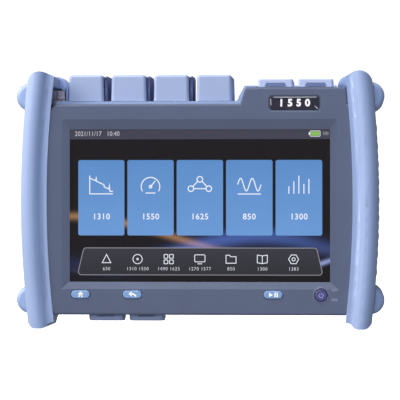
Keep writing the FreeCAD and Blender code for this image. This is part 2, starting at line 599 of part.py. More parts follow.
def bumper_right():
    """Moulded rubber guard: a rolled section turned about a far axis, so that it bows out."""
    body = new_body("bumper_right")
    section = level_sketch(body, "section", "mid_height")
    bind(section, "AttachmentOffset.Base.x", "flank - bow_radius")
    swing = "(bow_radius - flank)"
    reach = "(roll_radius + cove_radius)"
    drop = "(lip_face + cove_radius - roll_front)"
    across = f"sqrt({reach} ^ 2 - {drop} ^ 2)"
    lip = f"lip_edge + {swing}"
    cove = f"flank - roll_radius - {across} + {swing}"
    turn = f"flank - roll_radius - {across} * roll_radius / {reach} + {swing}"
    turn_depth = f"(roll_front + {drop} * roll_radius / {reach})"
    crown, crown_depth = f"flank - roll_radius + {swing}", "(roll_front + roll_radius)"
    side = f"flank + {swing}"
    outline(section, [
        (lip, "lip_face"), (lip, "-lip_face"), (cove, "-lip_face"),
        (turn, f"-{turn_depth}", "cove_radius"), (crown, f"-{crown_depth}", "-roll_radius"),
        (side, "-roll_front", "-roll_radius"), (side, "roll_front"),
        (crown, crown_depth, "-roll_radius"), (turn, turn_depth, "-roll_radius"),
        (cove, "lip_face", "cove_radius")])
    turn_section(body, section, 15)
    top = front_sketch(body, "top_nose", "0")
    top_level = "(total_height - top_nose_radius)"
    shoulder_x = "top_nose_x + top_nose_radius * sin(60)"
    shoulder = f"{top_level} + top_nose_radius * cos(60)"
    outline(top, [
        ("nose_root", "total_height - root_drop"), ("crest", "total_height - crest_drop"),
        ("top_nose_x", "total_height", "crown_radius"), (shoulder_x, shoulder, "top_nose_radius"),
        (f"{shoulder_x} + 10", f"{shoulder} - 10 / tan(30)"),
        (f"{shoulder_x} + 10", "total_height + 9"), ("nose_root", "total_height + 9")])
    cut(body, top, "80", both=True)
    toe = front_sketch(body, "toe_nose", "0")
    toe_level = "(toe_nose_radius - foot_flat)"
    slant_x = "(toe_nose_x - toe_nose_radius * sin(36))"
    slant_z = f"({toe_level} - toe_nose_radius * cos(36))"
    shoulder_x = "toe_nose_x + toe_nose_radius * sin(60)"
    shoulder = f"{toe_level} - toe_nose_radius * cos(60)"
    foot_half = "sqrt(toe_nose_radius ^ 2 - (toe_nose_radius - foot_flat) ^ 2)"
    outline(toe, [
        ("nose_root", "toe_crest"), ("nose_root", "-9"), (f"{shoulder_x} + 10", "-9"),
        (f"{shoulder_x} + 10", f"{shoulder} + 10 / tan(30)"), (shoulder_x, shoulder),
        (f"toe_nose_x + {foot_half}", "0", "toe_nose_radius"), (f"toe_nose_x - {foot_half}", "0"),
        (slant_x, slant_z, "toe_nose_radius"), ("toe_slant", "toe_low"), ("crest", "toe_crest")])
    cut(body, toe, "80", both=True)
    for name in ("pad_high", "pad_low"):
        corner_pad(body, name)
    hood = outline(front_sketch(body, "hood", "hood_front"), [
        ("hood_root", "niche_top"), ("hood_root", "total_height - crest_drop"),
        ("crest", "total_height - crest_drop"), ("hood_tip", "hood_sill + 2.8", "hood_radius"),
        ("hood_tip", "hood_sill"), ("hood_bend", "niche_top")])
    add(body, hood, "hood_back - hood_front", towards_back=True)
    seat = outline(front_sketch(body, "case_seat", "front_face"), [
        ("guard_root", "case_floor"), ("case_half - floor_chamfer", "case_floor"),
        ("case_half", "case_floor + floor_chamfer"), ("case_half", "deck_top - rear_corner"),
        ("case_half - rear_corner", "deck_top"), ("guard_root", "deck_top")])
    cut(body, seat, "rear_face - front_face")
    niche = outline(front_sketch(body, "niche", "niche_front"), [
        ("guard_root", "deck_top - 0.5"), ("niche_depth", "deck_top - 0.5"),
        ("niche_depth", "niche_top"), ("hood_bend", "niche_top"), ("hood_tip", "hood_sill"),
        ("guard_root", "hood_sill")])
    cut(body, niche, "roll_front + roll_radius + 30")
    front = toe_relief(body, "toe_relief_front", "relief_start", "relief_near", "0.3")
    back = toe_relief(body, "toe_relief_back", "roll_front + roll_radius + 1", "relief_far", "1.3")
    lofted_pocket(body, "toe_relief", front, back)
    return body


def bumper_left(source):
    mirror = doc.addObject("Part::Mirroring", "bumper_left")
    mirror.Source = source
    mirror.Normal = Vector(1, 0, 0)
    mirror.Base = Vector(0, 0, 0)
    doc.recompute()
    keep(mirror, "bumper_left")


def strap_lugs():
    """Steel block on the deck under each hood: a seamed front, and a blind hole behind it
    that takes the pin of a neck strap."""
    for side, sign in (("right", ""), ("left", "-")):
        body = new_body("strap_lug_" + side)
        face = outline(front_sketch(body, "face", "lug_front"), [
            (f"{sign}lug_inner", "deck_top"), (f"{sign}lug_outer", "deck_top"),
            (f"{sign}lug_outer", "lug_top"), (f"{sign}hood_bend", "lug_top"),
            (f"{sign}(lug_inner + 0.3)", "hood_sill - 0.8"), (f"{sign}(lug_inner + 0.3)", "lug_bead")])
        add(body, face, "lug_back - lug_front", towards_back=True)
        foot = rectangle(front_sketch(body, "foot", "lug_front - 0.9"), f"{sign}lug_inner",
                         f"{sign}lug_outer", "deck_top", "lug_bead")
        add(body, foot, "3", towards_back=True)
        soften(body, lambda p: near(p.y, "lug_front - 0.9") and near(p.z, "lug_bead"), "0.6",
               "Chamfer")
        for name, seam, low, high in (("low", "lug_seam_low", "deck_top", "lug_bead + 0.1"),
                                      ("high", "lug_seam_high", "lug_bead", "lug_top")):
            groove = rectangle(front_sketch(body, name + "_seam", "lug_front - 0.9"),
                               f"{sign}{seam} - 0.25", f"{sign}{seam} + 0.25", low, high)
            cut(body, groove, "1.5")
        hole = circle(front_sketch(body, "pin_hole", "lug_back"),
                      f"{sign}(lug_inner + lug_outer) / 2", "strap_pin_level", "strap_pin")
        cut(body, hole, "strap_pin_deep", turned=True)


# ---------------------------------------------------------------- port caps and covers
def top_trim():
    """Rubber base round the ports: it follows the step in the top, with a filleted foot."""
    body = new_body("top_trim")
    low, high = "deck_top + trim_thick", "block_top + block_trim"
    strip = outline(front_sketch(body, "strip", "trim_front"), [
        ("trim_start", "deck_top"), ("ramp_foot", "deck_top"), ("ramp_head", "block_top"),
        ("rear_block_right - 0.4", "block_top"), ("rear_block_right - 0.4", high),
        ("ramp_head - 1", high), ("ramp_foot - 1.6", low + " + 2.4"),
        ("ramp_foot - 4", low, "2.4"), ("trim_start", low)])
    add(body, strip, "trim_back - trim_front", towards_back=True)
    step = rectangle(level_sketch(body, "lug_step", low), "trim_start - 1", "trim_step",
                     "lug_front - 1.4", "trim_back + 1")
    cut(body, step, "trim_thick")
    ports = level_sketch(body, "port_holes", low)
    for spot in CAP_SPOTS:
        circle(ports, spot, "port_depth", "port_hole + 0.4")
    cut(body, ports, "trim_thick")
    beds = level_sketch(body, "cover_beds", high)
    for spot in COVER_SPOTS:
        rectangle(beds, f"{spot} - cover_width / 2 - 0.4", f"{spot} + cover_width / 2 + 0.4",
                  "trim_front - 1", "trim_back + 1")
    cut(body, beds, "block_trim - trim_film")
    windows = level_sketch(body, "socket_windows", high)
    for spot, half in zip(COVER_SPOTS, ("lan_half + 0.3", "usb_half + 0.3")):
        rectangle(windows, f"{spot} - ({half})", f"{spot} + {half}", "socket_front - 0.3",
                  "socket_back + 0.3")
    cut(body, windows, "block_trim")


def knuckles(body, name, spot, width, end, wall_back, hinge):
    """Two hinge knuckles behind a cap, with the bore that turns on the pin."""
    outer = f"({width}) / 2 - 1"
    arm = f"({outer} - lug_width / 2 - lug_gap)"
    for number, sign in enumerate(("-", "+"), start=1):
        middle = f"{spot} {sign} (lug_width / 2 + lug_gap + {arm} / 2)"
        sketch = side_sketch(body, f"{name}_knuckle_{number}", middle)
        outline(sketch, [
            (wall_back + " - 0.6", f"{end} - knuckle_radius + 0.3"),
            (hinge, f"{end} - knuckle_radius + 0.3"),
            (hinge, f"{end} + knuckle_radius - 0.3", "-knuckle_radius + 0.3 - 0.001"),
            (wall_back + " - 0.6", f"{end} + knuckle_radius - 0.3")])
        add(body, sketch, arm, both=True)
    bore = circle(side_sketch(body, name + "_bore", spot), hinge, end,
                  "pin_radius + pin_running")
    cut(body, bore, f"{width} + 2", both=True)


def port_caps():
    """Four deep dust caps over the optical ports, hollow below, hinged behind."""
    level = "(deck_top + trim_thick + cap_gap)"
    top = f"({level} + cap_tall)"
    for number, spot in enumerate(CAP_SPOTS, start=1):
        label = f"port_cap_{number}"
        body = new_body(label)
        base = rectangle(level_sketch(body, "base", level), f"{spot} - cap_width / 2",
                         f"{spot} + cap_width / 2", "cap_front", "cap_back")
        add(body, base, "cap_tall", draft="-cap_draft")
        soften(body, lambda p: size(level) + 0.02 < p.z < size(top) - 0.02, "cap_round")
        soften(body, lambda p: near(p.z, top), "cap_round - 0.3")
        inside = rectangle(level_sketch(body, "inside", level),
                           f"{spot} - cap_width / 2 + cap_wall",
                           f"{spot} + cap_width / 2 - cap_wall",
                           "cap_front + cap_wall", "cap_back - cap_wall")
        cut(body, inside, "cap_tall - cap_wall", turned=True)
        knuckles(body, label, spot, "cap_width", "(deck_top + cap_axis)", "cap_back", "hinge_back")


def small_covers():
    """Two low covers on the raised part of the top, each with a finger notch in front."""
    level = "(block_top + trim_film + cap_gap)"
    top = f"({level} + cover_tall)"
    for label, spot in zip(("lan_cover", "usb_cover"), COVER_SPOTS):
        body = new_body(label)
        base = rectangle(level_sketch(body, "base", level), f"{spot} - cover_width / 2",
                         f"{spot} + cover_width / 2", "cap_front", "cap_back")
        add(body, base, "cover_tall")
        soften(body, lambda p: size(level) + 0.02 < p.z < size(top) - 0.02, "1.5")
        soften(body, lambda p: near(p.z, top), "1.2")
        inside = rectangle(level_sketch(body, "inside", level),
                           f"{spot} - cover_width / 2 + cover_wall",
                           f"{spot} + cover_width / 2 - cover_wall",
                           "cap_front + cover_wall", "cap_back - cover_wall")
        cut(body, inside, "cover_tall - cover_wall", turned=True)
        notch = rectangle(front_sketch(body, "finger_notch", "cap_front"),
                          f"{spot} - notch_width / 2", f"{spot} + notch_width / 2",
                          f"{level} - 1", f"{level} + notch_height")
        cut(body, notch, "notch_deep")
        knuckles(body, label, spot, "cover_width", "(block_top + cover_axis)", "cap_back",
                 "hinge_back")


def hatches():
    """Two covers underneath, each with a plug that fills its socket's window."""
    level = "(case_floor - cap_gap)"
    bottom = f"({level} - hatch_tall)"
    for label, spot in zip(("power_cover", "card_cover"), HATCH_SPOTS):
        body = new_body(label)
        plate = rectangle(level_sketch(body, "plate", level), f"{spot} - hatch_width / 2",
                          f"{spot} + hatch_width / 2", "cap_front", "hatch_back")
        pad = add(body, plate, "hatch_tall", towards_back=True)
        if pad.Shape.BoundBox.ZMin > size(level) - 1:
            raise RuntimeError(label + " grew upwards")
        soften(body, lambda p: size(bottom) + 0.02 < p.z < size(level) - 0.02, "2.2")
        soften(body, lambda p: near(p.z, bottom) and p.y < size("hatch_back") - 1, "1.4")
        plug = rectangle(level_sketch(body, "plug", level), f"{spot} - hatch_half + 0.5",
                         f"{spot} + hatch_half - 0.5", "hatch_front + 0.6", "hatch_end - 1")
        add(body, plug, "1.6")
        core = rectangle(level_sketch(body, "core", level + " + 1.6"),
                         f"{spot} - hatch_half + 1.7", f"{spot} + hatch_half - 1.7",
                         "hatch_front + 1.8", "hatch_end - 2.2")
        cut(body, core, "1.6")
        notch = rectangle(front_sketch(body, "finger_notch", "cap_front"),
                          f"{spot} - hatch_notch_width / 2", f"{spot} + hatch_notch_width / 2",
                          f"{level} - hatch_notch", f"{level} + 1")
        cut(body, notch, "notch_deep")
        knuckles(body, label, spot, "hatch_width", "(case_floor - hatch_axis)", "hatch_back",
                 "hatch_hinge")


def hinge_pins():
    """Steel pins, one through each cap's knuckles and lug."""
    top, bottom = [], []
    for name, spots, width, level, hinge, store in (
            ("cap", CAP_SPOTS, "cap_width", "deck_top + cap_axis", "hinge_back", top),
            ("cover", COVER_SPOTS, "cover_width", "block_top + cover_axis", "hinge_back", top),
            ("hatch", HATCH_SPOTS, "hatch_width", "case_floor - hatch_axis", "hatch_hinge",
             bottom)):
        for number, spot in enumerate(spots, start=1):
            store.append(rod(f"{name}_pin_{number}", "X", (hinge, level),
                             f"{spot} - {width} / 2 + 1", f"{width} - 2", "pin_radius"))
    keep(group("top_hinge_pins", top), "top_hinge_pins")
    keep(group("bottom_hinge_pins", bottom), "bottom_hinge_pins")


# ---------------------------------------------------------------- keys, lights and plate
def pill_keys():
    """Pill keys: a crowned cap proud of the cover, a flange behind it and a stem."""
    for name in ("home", "back", "run"):
        body = new_body(name + "_key")
        x = name + "_x"
        face = pill(front_sketch(body, "face", "front_face - key_proud"), x, "key_level",
                    "key_width", "key_height")
        add(body, face, "front_wall + key_proud + 0.5", towards_back=True)
        soften(body, lambda p: near(p.y, "front_face - key_proud"), "0.7")
        flange = pill(front_sketch(body, "flange", "front_face + front_wall + 0.02"), x,
                      "key_level", "key_width + 2.4", "key_height + 1.6")
        add(body, flange, "key_flange", towards_back=True)
        stem = circle(front_sketch(body, "stem", "front_face + front_wall + key_flange"), x,
                      "key_level", "1.3")
        add(body, stem, "key_stem", towards_back=True)


def power_key():
    """Round key with a shallow dish, a flange and a stem."""
    body = new_body("power_key")
    face = circle(front_sketch(body, "face", "front_face - key_proud"), "power_x", "power_level",
                  "power_radius")
    add(body, face, "front_wall + key_proud + 0.5", towards_back=True)
    soften(body, lambda p: near(p.y, "front_face - key_proud"), "0.6")
    dish = circle(front_sketch(body, "dish", "front_face - key_proud"), "power_x", "power_level",
                  "power_radius - 1.1")
    cut(body, dish, "0.15")
    flange = circle(front_sketch(body, "flange", "front_face + front_wall + 0.02"), "power_x",
                    "power_level", "ring_outer")
    add(body, flange, "key_flange", towards_back=True)
    stem = circle(front_sketch(body, "stem", "front_face + front_wall + key_flange"), "power_x",
                  "power_level", "1.3")
    add(body, stem, "key_stem", towards_back=True)


def power_ring():
    """Trim ring pressed into the cover round the power key."""
    body = new_body("power_ring")
    ring = circle(front_sketch(body, "ring", "front_face - 0.3"), "power_x", "power_level",
                  "ring_outer")
    circle(ring, "power_x", "power_level", "ring_inner")
    add(body, ring, "front_wall + 0.3", towards_back=True)
    soften(body, lambda p: near(p.y, "front_face - 0.3"), "0.2", "Chamfer")


def status_lights():
    """Two light guides beside the power key."""
    guides = []
    for name in ("light_high", "light_low"):
        body = doc.addObject("PartDesign::Body", name)
        bar = pill(front_sketch(body, "bar", "front_face - 0.15"), "light_x", name,
                   "light_width", "light_height")
        add(body, bar, "front_wall + 0.15", towards_back=True)
        guides.append(body)
    keep(group("status_lights", guides), "status_lights")


def label_plate():
    """Glossy plate in its recess, chamfered all round."""
    body = new_body("label_plate")
    face = outline(front_sketch(body, "face", "front_face + plate_recess - plate_thick"),
                   plate_outline("0.15"))
    add(body, face, "plate_thick", towards_back=True)
    soften(body, lambda p: near(p.y, "front_face + plate_recess - plate_thick"), "0.5",
           "Chamfer")


# ---------------------------------------------------------------- screen
GLASS_FRONT = "(front_face + front_wall)"
PANEL_FRONT = f"({GLASS_FRONT} + glass_thick)"
TRAY_FRONT = f"({PANEL_FRONT} + panel_thick)"


def screen():
    """Touch glass behind the window, display panel and its metal tray."""
    half, low, high = ("window_half + glass_overlap", "window_low - glass_overlap",
                       "window_high + glass_overlap")
    glass = new_body("touch_glass")
    sheet_face = rectangle(front_sketch(glass, "face", GLASS_FRONT), f"-({half})", half, low, high)
    add(glass, sheet_face, "glass_thick", towards_back=True)
    panel = new_body("lcd_panel")
    panel_face = rectangle(front_sketch(panel, "face", PANEL_FRONT), f"1 - ({half})",
                           f"{half} - 1", f"{low} + 1", f"{high} - 1")
    add(panel, panel_face, "panel_thick", towards_back=True)
    tray = new_body("lcd_frame")
    tray_face = rectangle(front_sketch(tray, "face", TRAY_FRONT), f"-({half})", half, low, high)
    add(tray, tray_face, "tray_thick", towards_back=True)
    soften(tray, lambda p: size(TRAY_FRONT) + 0.05 < p.y < size(TRAY_FRONT) + 4.55, "1.5")
    dish = rectangle(front_sketch(tray, "dish", TRAY_FRONT + " + tray_thick"), f"6 - ({half})",
                     f"{half} - 6", f"{low} + 6", f"{high} - 6")
    cut(tray, dish, "tray_thick - 1.2", turned=True)
    posts = front_sketch(tray, "posts", TRAY_FRONT + " + tray_thick")
    holes = front_sketch(tray, "holes", "board_front")
    for x in ("-board_screw_x", "board_screw_x"):
        for z in ("board_screw_low", "board_screw_high"):
            circle(posts, x, z, "2.4")
            circle(holes, x, z, "1.1")
    add(tray, posts, f"board_front - ({TRAY_FRONT} + tray_thick)", towards_back=True)
    cut(tray, holes, "4", turned=True)


def boards():
    """Main board with its shielded parts, and the switch board behind the keys."""
    main = block("main_board_sheet", "-80", "80", "board_front", "board_front + board_thick",
                 "board_low", "board_high")
    back = "board_front + board_thick"
    shields = [
        block("processor_shield", "-22", "12", back, back + " + 3.5", "94", "100.5"),
        block("radio_shield", "26", "54", back, back + " + 3", "94", "112"),
        block("power_stage", "46", "76", back, back + " + 7", "40", "66"),
        block("display_plug", "-70", "-46", back, back + " + 4", "60", "66")]
    solid = joined("main_board_parts", [main] + shields)
    holes = [rod(f"board_hole_{number}", "Y", (x, z), "board_front - 1", "board_thick + 2",
                 "1.3")
             for number, (x, z) in enumerate(
                 [(x, z) for x in ("-board_screw_x", "board_screw_x")
                  for z in ("board_screw_low", "board_screw_high")], start=1)]
    keep(less("main_board", solid, holes), "main_board")
    keys = [block("key_board_sheet", "-80", "80", "key_board_front",
                  "key_board_front + board_thick", "12.5", "24.6")]
    for name, level in (("home", "key_level"), ("back", "key_level"), ("run", "key_level"),
                        ("power", "power_level")):
        keys.append(rod(name + "_switch", "Y", (name + "_x", level), "key_board_front - 1.4",
                        "1.5", "1.7"))
    keep(joined("key_board", keys), "key_board")


def board_screws():
    """Four pan head screws through the main board into the display tray."""
    screws = []
    for x in ("-board_screw_x", "board_screw_x"):
        for z in ("board_screw_low", "board_screw_high"):
            tag = f"board_screw_{len(screws) + 1}"
            shank = rod(tag + "_shank", "Y", (x, z), "board_front - 3",
                        "board_thick + 3.2", "1.1")
            head = rod(tag + "_head", "Y", (x, z), "board_front + board_thick", "1.4", "2.1")
            screws.append(joined(tag, [shank, head]))
    keep(group("board_screws", screws), "board_screws")


# ---------------------------------------------------------------- optical unit and sockets
def optical_unit():
    """Sealed optical box under the ports, with cooling ribs underneath."""
    body = new_body("otdr_module")
    shape = rectangle(front_sketch(body, "case", "module_front"), "cap_first - 10.8", "ramp_foot - 0.6",
                      "module_low", "module_top")
    add(body, shape, "rear_face - wall - module_front", towards_back=True)
    soften(body, lambda p: size("module_front") + 0.1 < p.y < size("rear_face - wall") - 0.1,
           "1.5")
    groove = rectangle(front_sketch(body, "groove", "module_front"), "cap_first - 8",
                       "cap_first - 5.5", "module_low - 1", "module_low + 2")
    grooves = cut(body, groove, "rear_face - wall - module_front + 1")
    rows = body.newObject("PartDesign::LinearPattern", "otdr_module_grooves")
    rows.Originals = [grooves]
    rows.Direction = (groove, ["H_Axis"])
    rows.Length = 85
    rows.Occurrences = 18
    body.Tip = rows
    doc.recompute()


def adapters():
    """Threaded adapters for 2.5 mm ferrules: square flange, barrel, bore and key slot."""
    for number, spot in enumerate(CAP_SPOTS, start=1):
        tag = f"optical_adapter_{number}"
        half = "adapter_flange / 2"
        flange = block(tag + "_flange", f"{spot} - {half}", f"{spot} + {half}",
                       f"port_depth - {half}", f"port_depth + {half}", "module_top",
                       "module_top + 2.2")
        neck = rod(tag + "_neck", "Z", (spot, "port_depth"), "module_top",
                   "deck_top + 3 - module_top", "barrel_radius + 0.8")
        barrel = rod(tag + "_barrel", "Z", (spot, "port_depth"), "module_top",
                     "adapter_top - module_top", "barrel_radius")
        bore = rod(tag + "_bore", "Z", (spot, "port_depth"), "adapter_top - ferrule_depth",
                   "ferrule_depth + 1", "ferrule_radius")
        slot = block(tag + "_slot", f"{spot} - 1.1", f"{spot} + 1.1",
                     "port_depth - barrel_radius - 1", "port_depth - barrel_radius + 1.2",
                     "adapter_top - 3.4", "adapter_top + 1")
        keep(less(tag, joined(tag + "_solid", [flange, neck, barrel]), [bore, slot]), tag)


def sockets():
    """Network and bus sockets on one board, supply and card sockets on another."""
    io_top = "(io_board_level + board_thick)"
    keep(block("io_board", "34", "79.5", "-14.5", "rear_face - wall", "io_board_level", io_top),
         "io_board")
    keep(block("power_board", "-70", "-20", "-14.5", "tray_front", "power_board_level",
               "power_board_level + board_thick"), "power_board")
    lan, bus = COVER_SPOTS
    top = "(block_top - 0.6)"
    shell = block("lan_shell", f"{lan} - lan_half", f"{lan} + lan_half", "socket_front",
                  "socket_back", io_top, top)
    hollow = block("lan_hollow", f"{lan} - 5.9", f"{lan} + 5.9", "socket_front + 2.4",
                   "socket_back - 4.2", f"{top} - 12", f"{top} + 1")
    latch = block("lan_latch", f"{lan} - 3", f"{lan} + 3", "socket_front + 1",
                  "socket_front + 3", f"{top} - 12", f"{top} + 1")
    keep(less("lan_jack", shell, [hollow, latch]), "lan_jack")
    shell = block("usb_shell", f"{bus} - usb_half", f"{bus} + usb_half", "socket_front",
                  "socket_back", io_top, top)
    parts = []
    for number, start in enumerate(("socket_front + 1", "socket_front + 9.1"), start=1):
        hollow = block(f"usb_hollow_{number}", f"{bus} - 6.1", f"{bus} + 6.1", start,
                       f"{start} + 5", f"{top} - 10", f"{top} + 1")
        tongue = block(f"usb_tongue_{number}", f"{bus} - 5.5", f"{bus} + 5.5", f"{start} + 2.6",
                       f"{start} + 4.4", f"{top} - 10", f"{top} - 1")
        parts.append(less(f"usb_slot_{number}", hollow, [tongue]))
    keep(less("usb_jack", shell, parts), "usb_jack")
    supply, card = HATCH_SPOTS
    floor = "(case_floor + jack_clear)"
    barrel = rod("dc_barrel", "Z", (supply, "jack_depth"), floor,
                 f"power_board_level - {floor}", "5.2")
    mouth = rod("dc_mouth", "Z", (supply, "jack_depth"), f"{floor} - 1", "10", "3.2")
    pin = rod("dc_pin", "Z", (supply, "jack_depth"), f"{floor} + 1", "9", "1")
    keep(joined("dc_jack", [less("dc_body", barrel, [mouth]), pin]), "dc_jack")
    box = block("card_box", f"{card} - card_half", f"{card} + card_half", "jack_depth - 5.6",
                "jack_depth + 5.6", floor, "power_board_level")
    slot = block("card_slot", f"{card} - card_half + 1.4", f"{card} + card_half - 1.4",
                 "jack_depth - 0.8", "jack_depth + 0.8", f"{floor} - 1", f"{floor} + 7")
    keep(less("card_socket", box, [slot]), "card_socket")


# ---------------------------------------------------------------- rear
def battery():
    """Battery pack in its bay, the door over it and the door's screws."""
    pack = new_body("battery_pack")
    gap = "(bay_wall + 0.4)"
    face = rectangle(front_sketch(pack, "face", "bay_front + 1.8"), f"{gap} - door_half",
                     f"door_half - {gap}", f"door_low + {gap}", f"door_high - {gap}")
    add(pack, face, "rear_face - recess_depth - door_thick - bay_front - 2", towards_back=True)
    soften(pack, lambda p: 4.9 < p.y < 22.4, "2.5")
    door = new_body("battery_door")
    face = rectangle(front_sketch(door, "face", "rear_face - recess_depth - door_thick"),
                     "0.2 - door_half", "door_half - 0.2", "door_low + 0.2", "door_high - 0.2")
    add(door, face, "door_thick", towards_back=True)
    holes = front_sketch(door, "holes", "rear_face - recess_depth")
    screws = []
    sinks = front_sketch(door, "sinks", "rear_face - recess_depth")
    for x, z in DOOR_SCREWS:
        circle(holes, x, z, "door_screw")
        circle(sinks, x, z, "door_screw_head + 0.1")
        tag = f"door_screw_{len(screws) + 1}"
        screws.append(joined(tag, [
            rod(tag + "_shank", "Y", (x, z), "rear_face - recess_depth - door_screw_length",
                "door_screw_length - 0.3", "door_screw"),
            rod(tag + "_head", "Y", (x, z), "rear_face - recess_depth - door_sink",
                "door_sink - 0.1", "door_screw_head")]))
    cut(door, holes, "door_thick", turned=True)
    cut(door, sinks, "door_sink", turned=True)
    keep(group("door_screws", screws), "door_screws")


def kickstand():
    """Rear stand: a plate with a rounded hinge edge, a sunk panel and grip ribs."""
    body = new_body("kickstand")
    profile = side_sketch(body, "profile", "0")
    back, front = "stand_depth + stand_thick / 2", "stand_depth - stand_thick / 2"
    outline(profile, [
        (front, "stand_low"), (back, "stand_low"), (back, "stand_axis"),
        (front, "stand_axis + 0.001", "-stand_thick / 2 - 0.001")])
    add(body, profile, "2 * stand_half", both=True)
    soften(body, lambda p: near(p.z, "stand_low") and near(abs(p.x), "stand_half"), "6")
    panel = rectangle(front_sketch(body, "panel", back), "8 - stand_half", "stand_half - 8",
                      "stand_low + 20", "stand_axis - 12")
    cut(body, panel, "0.8", turned=True)
    rib = pill(front_sketch(body, "grip_rib", back + " - 0.1"), "0", "stand_low + 6", "30", "1.6")
    rib_pad = add(body, rib, "0.6", towards_back=True)
    rows = body.newObject("PartDesign::LinearPattern", "kickstand_grip")
    rows.Originals = [rib_pad]
    rows.Direction = (rib, ["V_Axis"])
    rows.Length = 8
    rows.Occurrences = 3
    body.Tip = rows
    doc.recompute()
    bore = circle(side_sketch(body, "bore", "0"), "stand_depth", "stand_axis",
                  "stand_pin + 0.05")
    cut(body, bore, "2 * stand_half + 2", both=True)
    keep(rod("stand_pin", "X", ("stand_depth", "stand_axis"), "-stand_half - 3.5",
             "2 * stand_half + 7", "stand_pin"), "stand_pin")


def case_screws():
    """Four long screws from the back through the rear posts into the front ones."""
    screws = []
    for x, z in SCREW_SPOTS:
        tag = f"case_screw_{len(screws) + 1}"
        shank = rod(tag + "_shank", "Y", (x, z), "seam_back - screw_bite",
                    "screw_seat - seam_back + screw_bite + 0.1", "screw_radius")
        head = rod(tag + "_head", "Y", (x, z), "screw_seat", "2.2", "screw_head")
        socket = rod(tag + "_socket", "Y", (x, z), "screw_seat + 1", "2", "1.25")
        screws.append(less(tag, joined(tag + "_solid", [shank, head]), [socket]))
    keep(group("case_screws", screws), "case_screws")


# ---------------------------------------------------------------- build, check and write
def main():
    front_cover()
    rear_cover()
    case_seal()
    bumper_left(bumper_right())
    strap_lugs()
    top_trim()
    port_caps()
    small_covers()
    hatches()
    hinge_pins()
    pill_keys()
    power_key()
    power_ring()
    status_lights()
    label_plate()
    screen()
    boards()
    board_screws()
    optical_unit()
    adapters()
    sockets()
    battery()
    kickstand()
    case_screws()
    doc.recompute()
    for item in doc.Objects:
        if "Invalid" in item.State or "Error" in item.State:
            raise RuntimeError(f"{item.Label} failed: {item.State}")
    for piece in PIECES:
        if piece.Shape.isNull() or not piece.Shape.isValid():
            raise RuntimeError(f"{piece.Label} has no valid shape")
    for piece in PIECES:
        piece.Shape.exportStep(f"parts/{piece.Label}.step")
        print(piece.Label, len(piece.Shape.Solids), round(piece.Shape.Volume))


main()
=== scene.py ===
"""Dress the handheld fibre tester: its finishes, its lit screen, key marks and small fittings.

Lengths are in metres. X runs along the screen, -Y is the screen side and +Z is up, and the
origin is at the middle of the base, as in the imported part.
"""
import json
import math

import bpy
import numpy as np
from bpy.props import FloatProperty, FloatVectorProperty, IntProperty, PointerProperty
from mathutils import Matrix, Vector

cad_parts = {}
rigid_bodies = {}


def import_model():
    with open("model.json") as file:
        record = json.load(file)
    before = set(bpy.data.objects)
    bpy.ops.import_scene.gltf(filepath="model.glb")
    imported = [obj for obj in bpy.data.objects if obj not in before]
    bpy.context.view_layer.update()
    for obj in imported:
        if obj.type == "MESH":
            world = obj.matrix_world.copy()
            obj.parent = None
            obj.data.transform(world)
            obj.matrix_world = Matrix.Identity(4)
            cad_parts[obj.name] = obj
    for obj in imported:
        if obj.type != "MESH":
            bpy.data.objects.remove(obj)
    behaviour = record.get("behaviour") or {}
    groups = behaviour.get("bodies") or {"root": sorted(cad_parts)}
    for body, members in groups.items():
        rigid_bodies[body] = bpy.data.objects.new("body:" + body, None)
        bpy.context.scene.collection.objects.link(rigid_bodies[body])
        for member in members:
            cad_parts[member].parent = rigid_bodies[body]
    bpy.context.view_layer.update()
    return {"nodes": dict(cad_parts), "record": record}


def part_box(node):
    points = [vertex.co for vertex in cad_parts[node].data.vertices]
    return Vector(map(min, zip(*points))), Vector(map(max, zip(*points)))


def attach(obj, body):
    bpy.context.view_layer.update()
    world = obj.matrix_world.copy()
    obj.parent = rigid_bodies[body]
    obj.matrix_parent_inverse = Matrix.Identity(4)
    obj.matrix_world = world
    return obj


bl_info = {
    "name": "Fibre Tester Dressing",
    "version": (1, 0, 0),
    "blender": (4, 5, 0),
    "location": "3D View > Sidebar > Fibre Tester",
    "description": "Finishes, screen picture and small fittings of a handheld fibre tester",
    "category": "Object",
}

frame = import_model()
MM = 0.001
SIDES = (("left", -1.0), ("right", 1.0))


# ---------------------------------------------------------------- sizes and colours
def length(name, description, millimetres):
    return FloatProperty(name=name, description=description, default=millimetres * MM,
                         min=0.0, unit="LENGTH", precision=4)


def colour(name, description, value):
    return FloatVectorProperty(name=name, description=description, default=value, size=3,
                               min=0.0, max=1.0, subtype="COLOR")


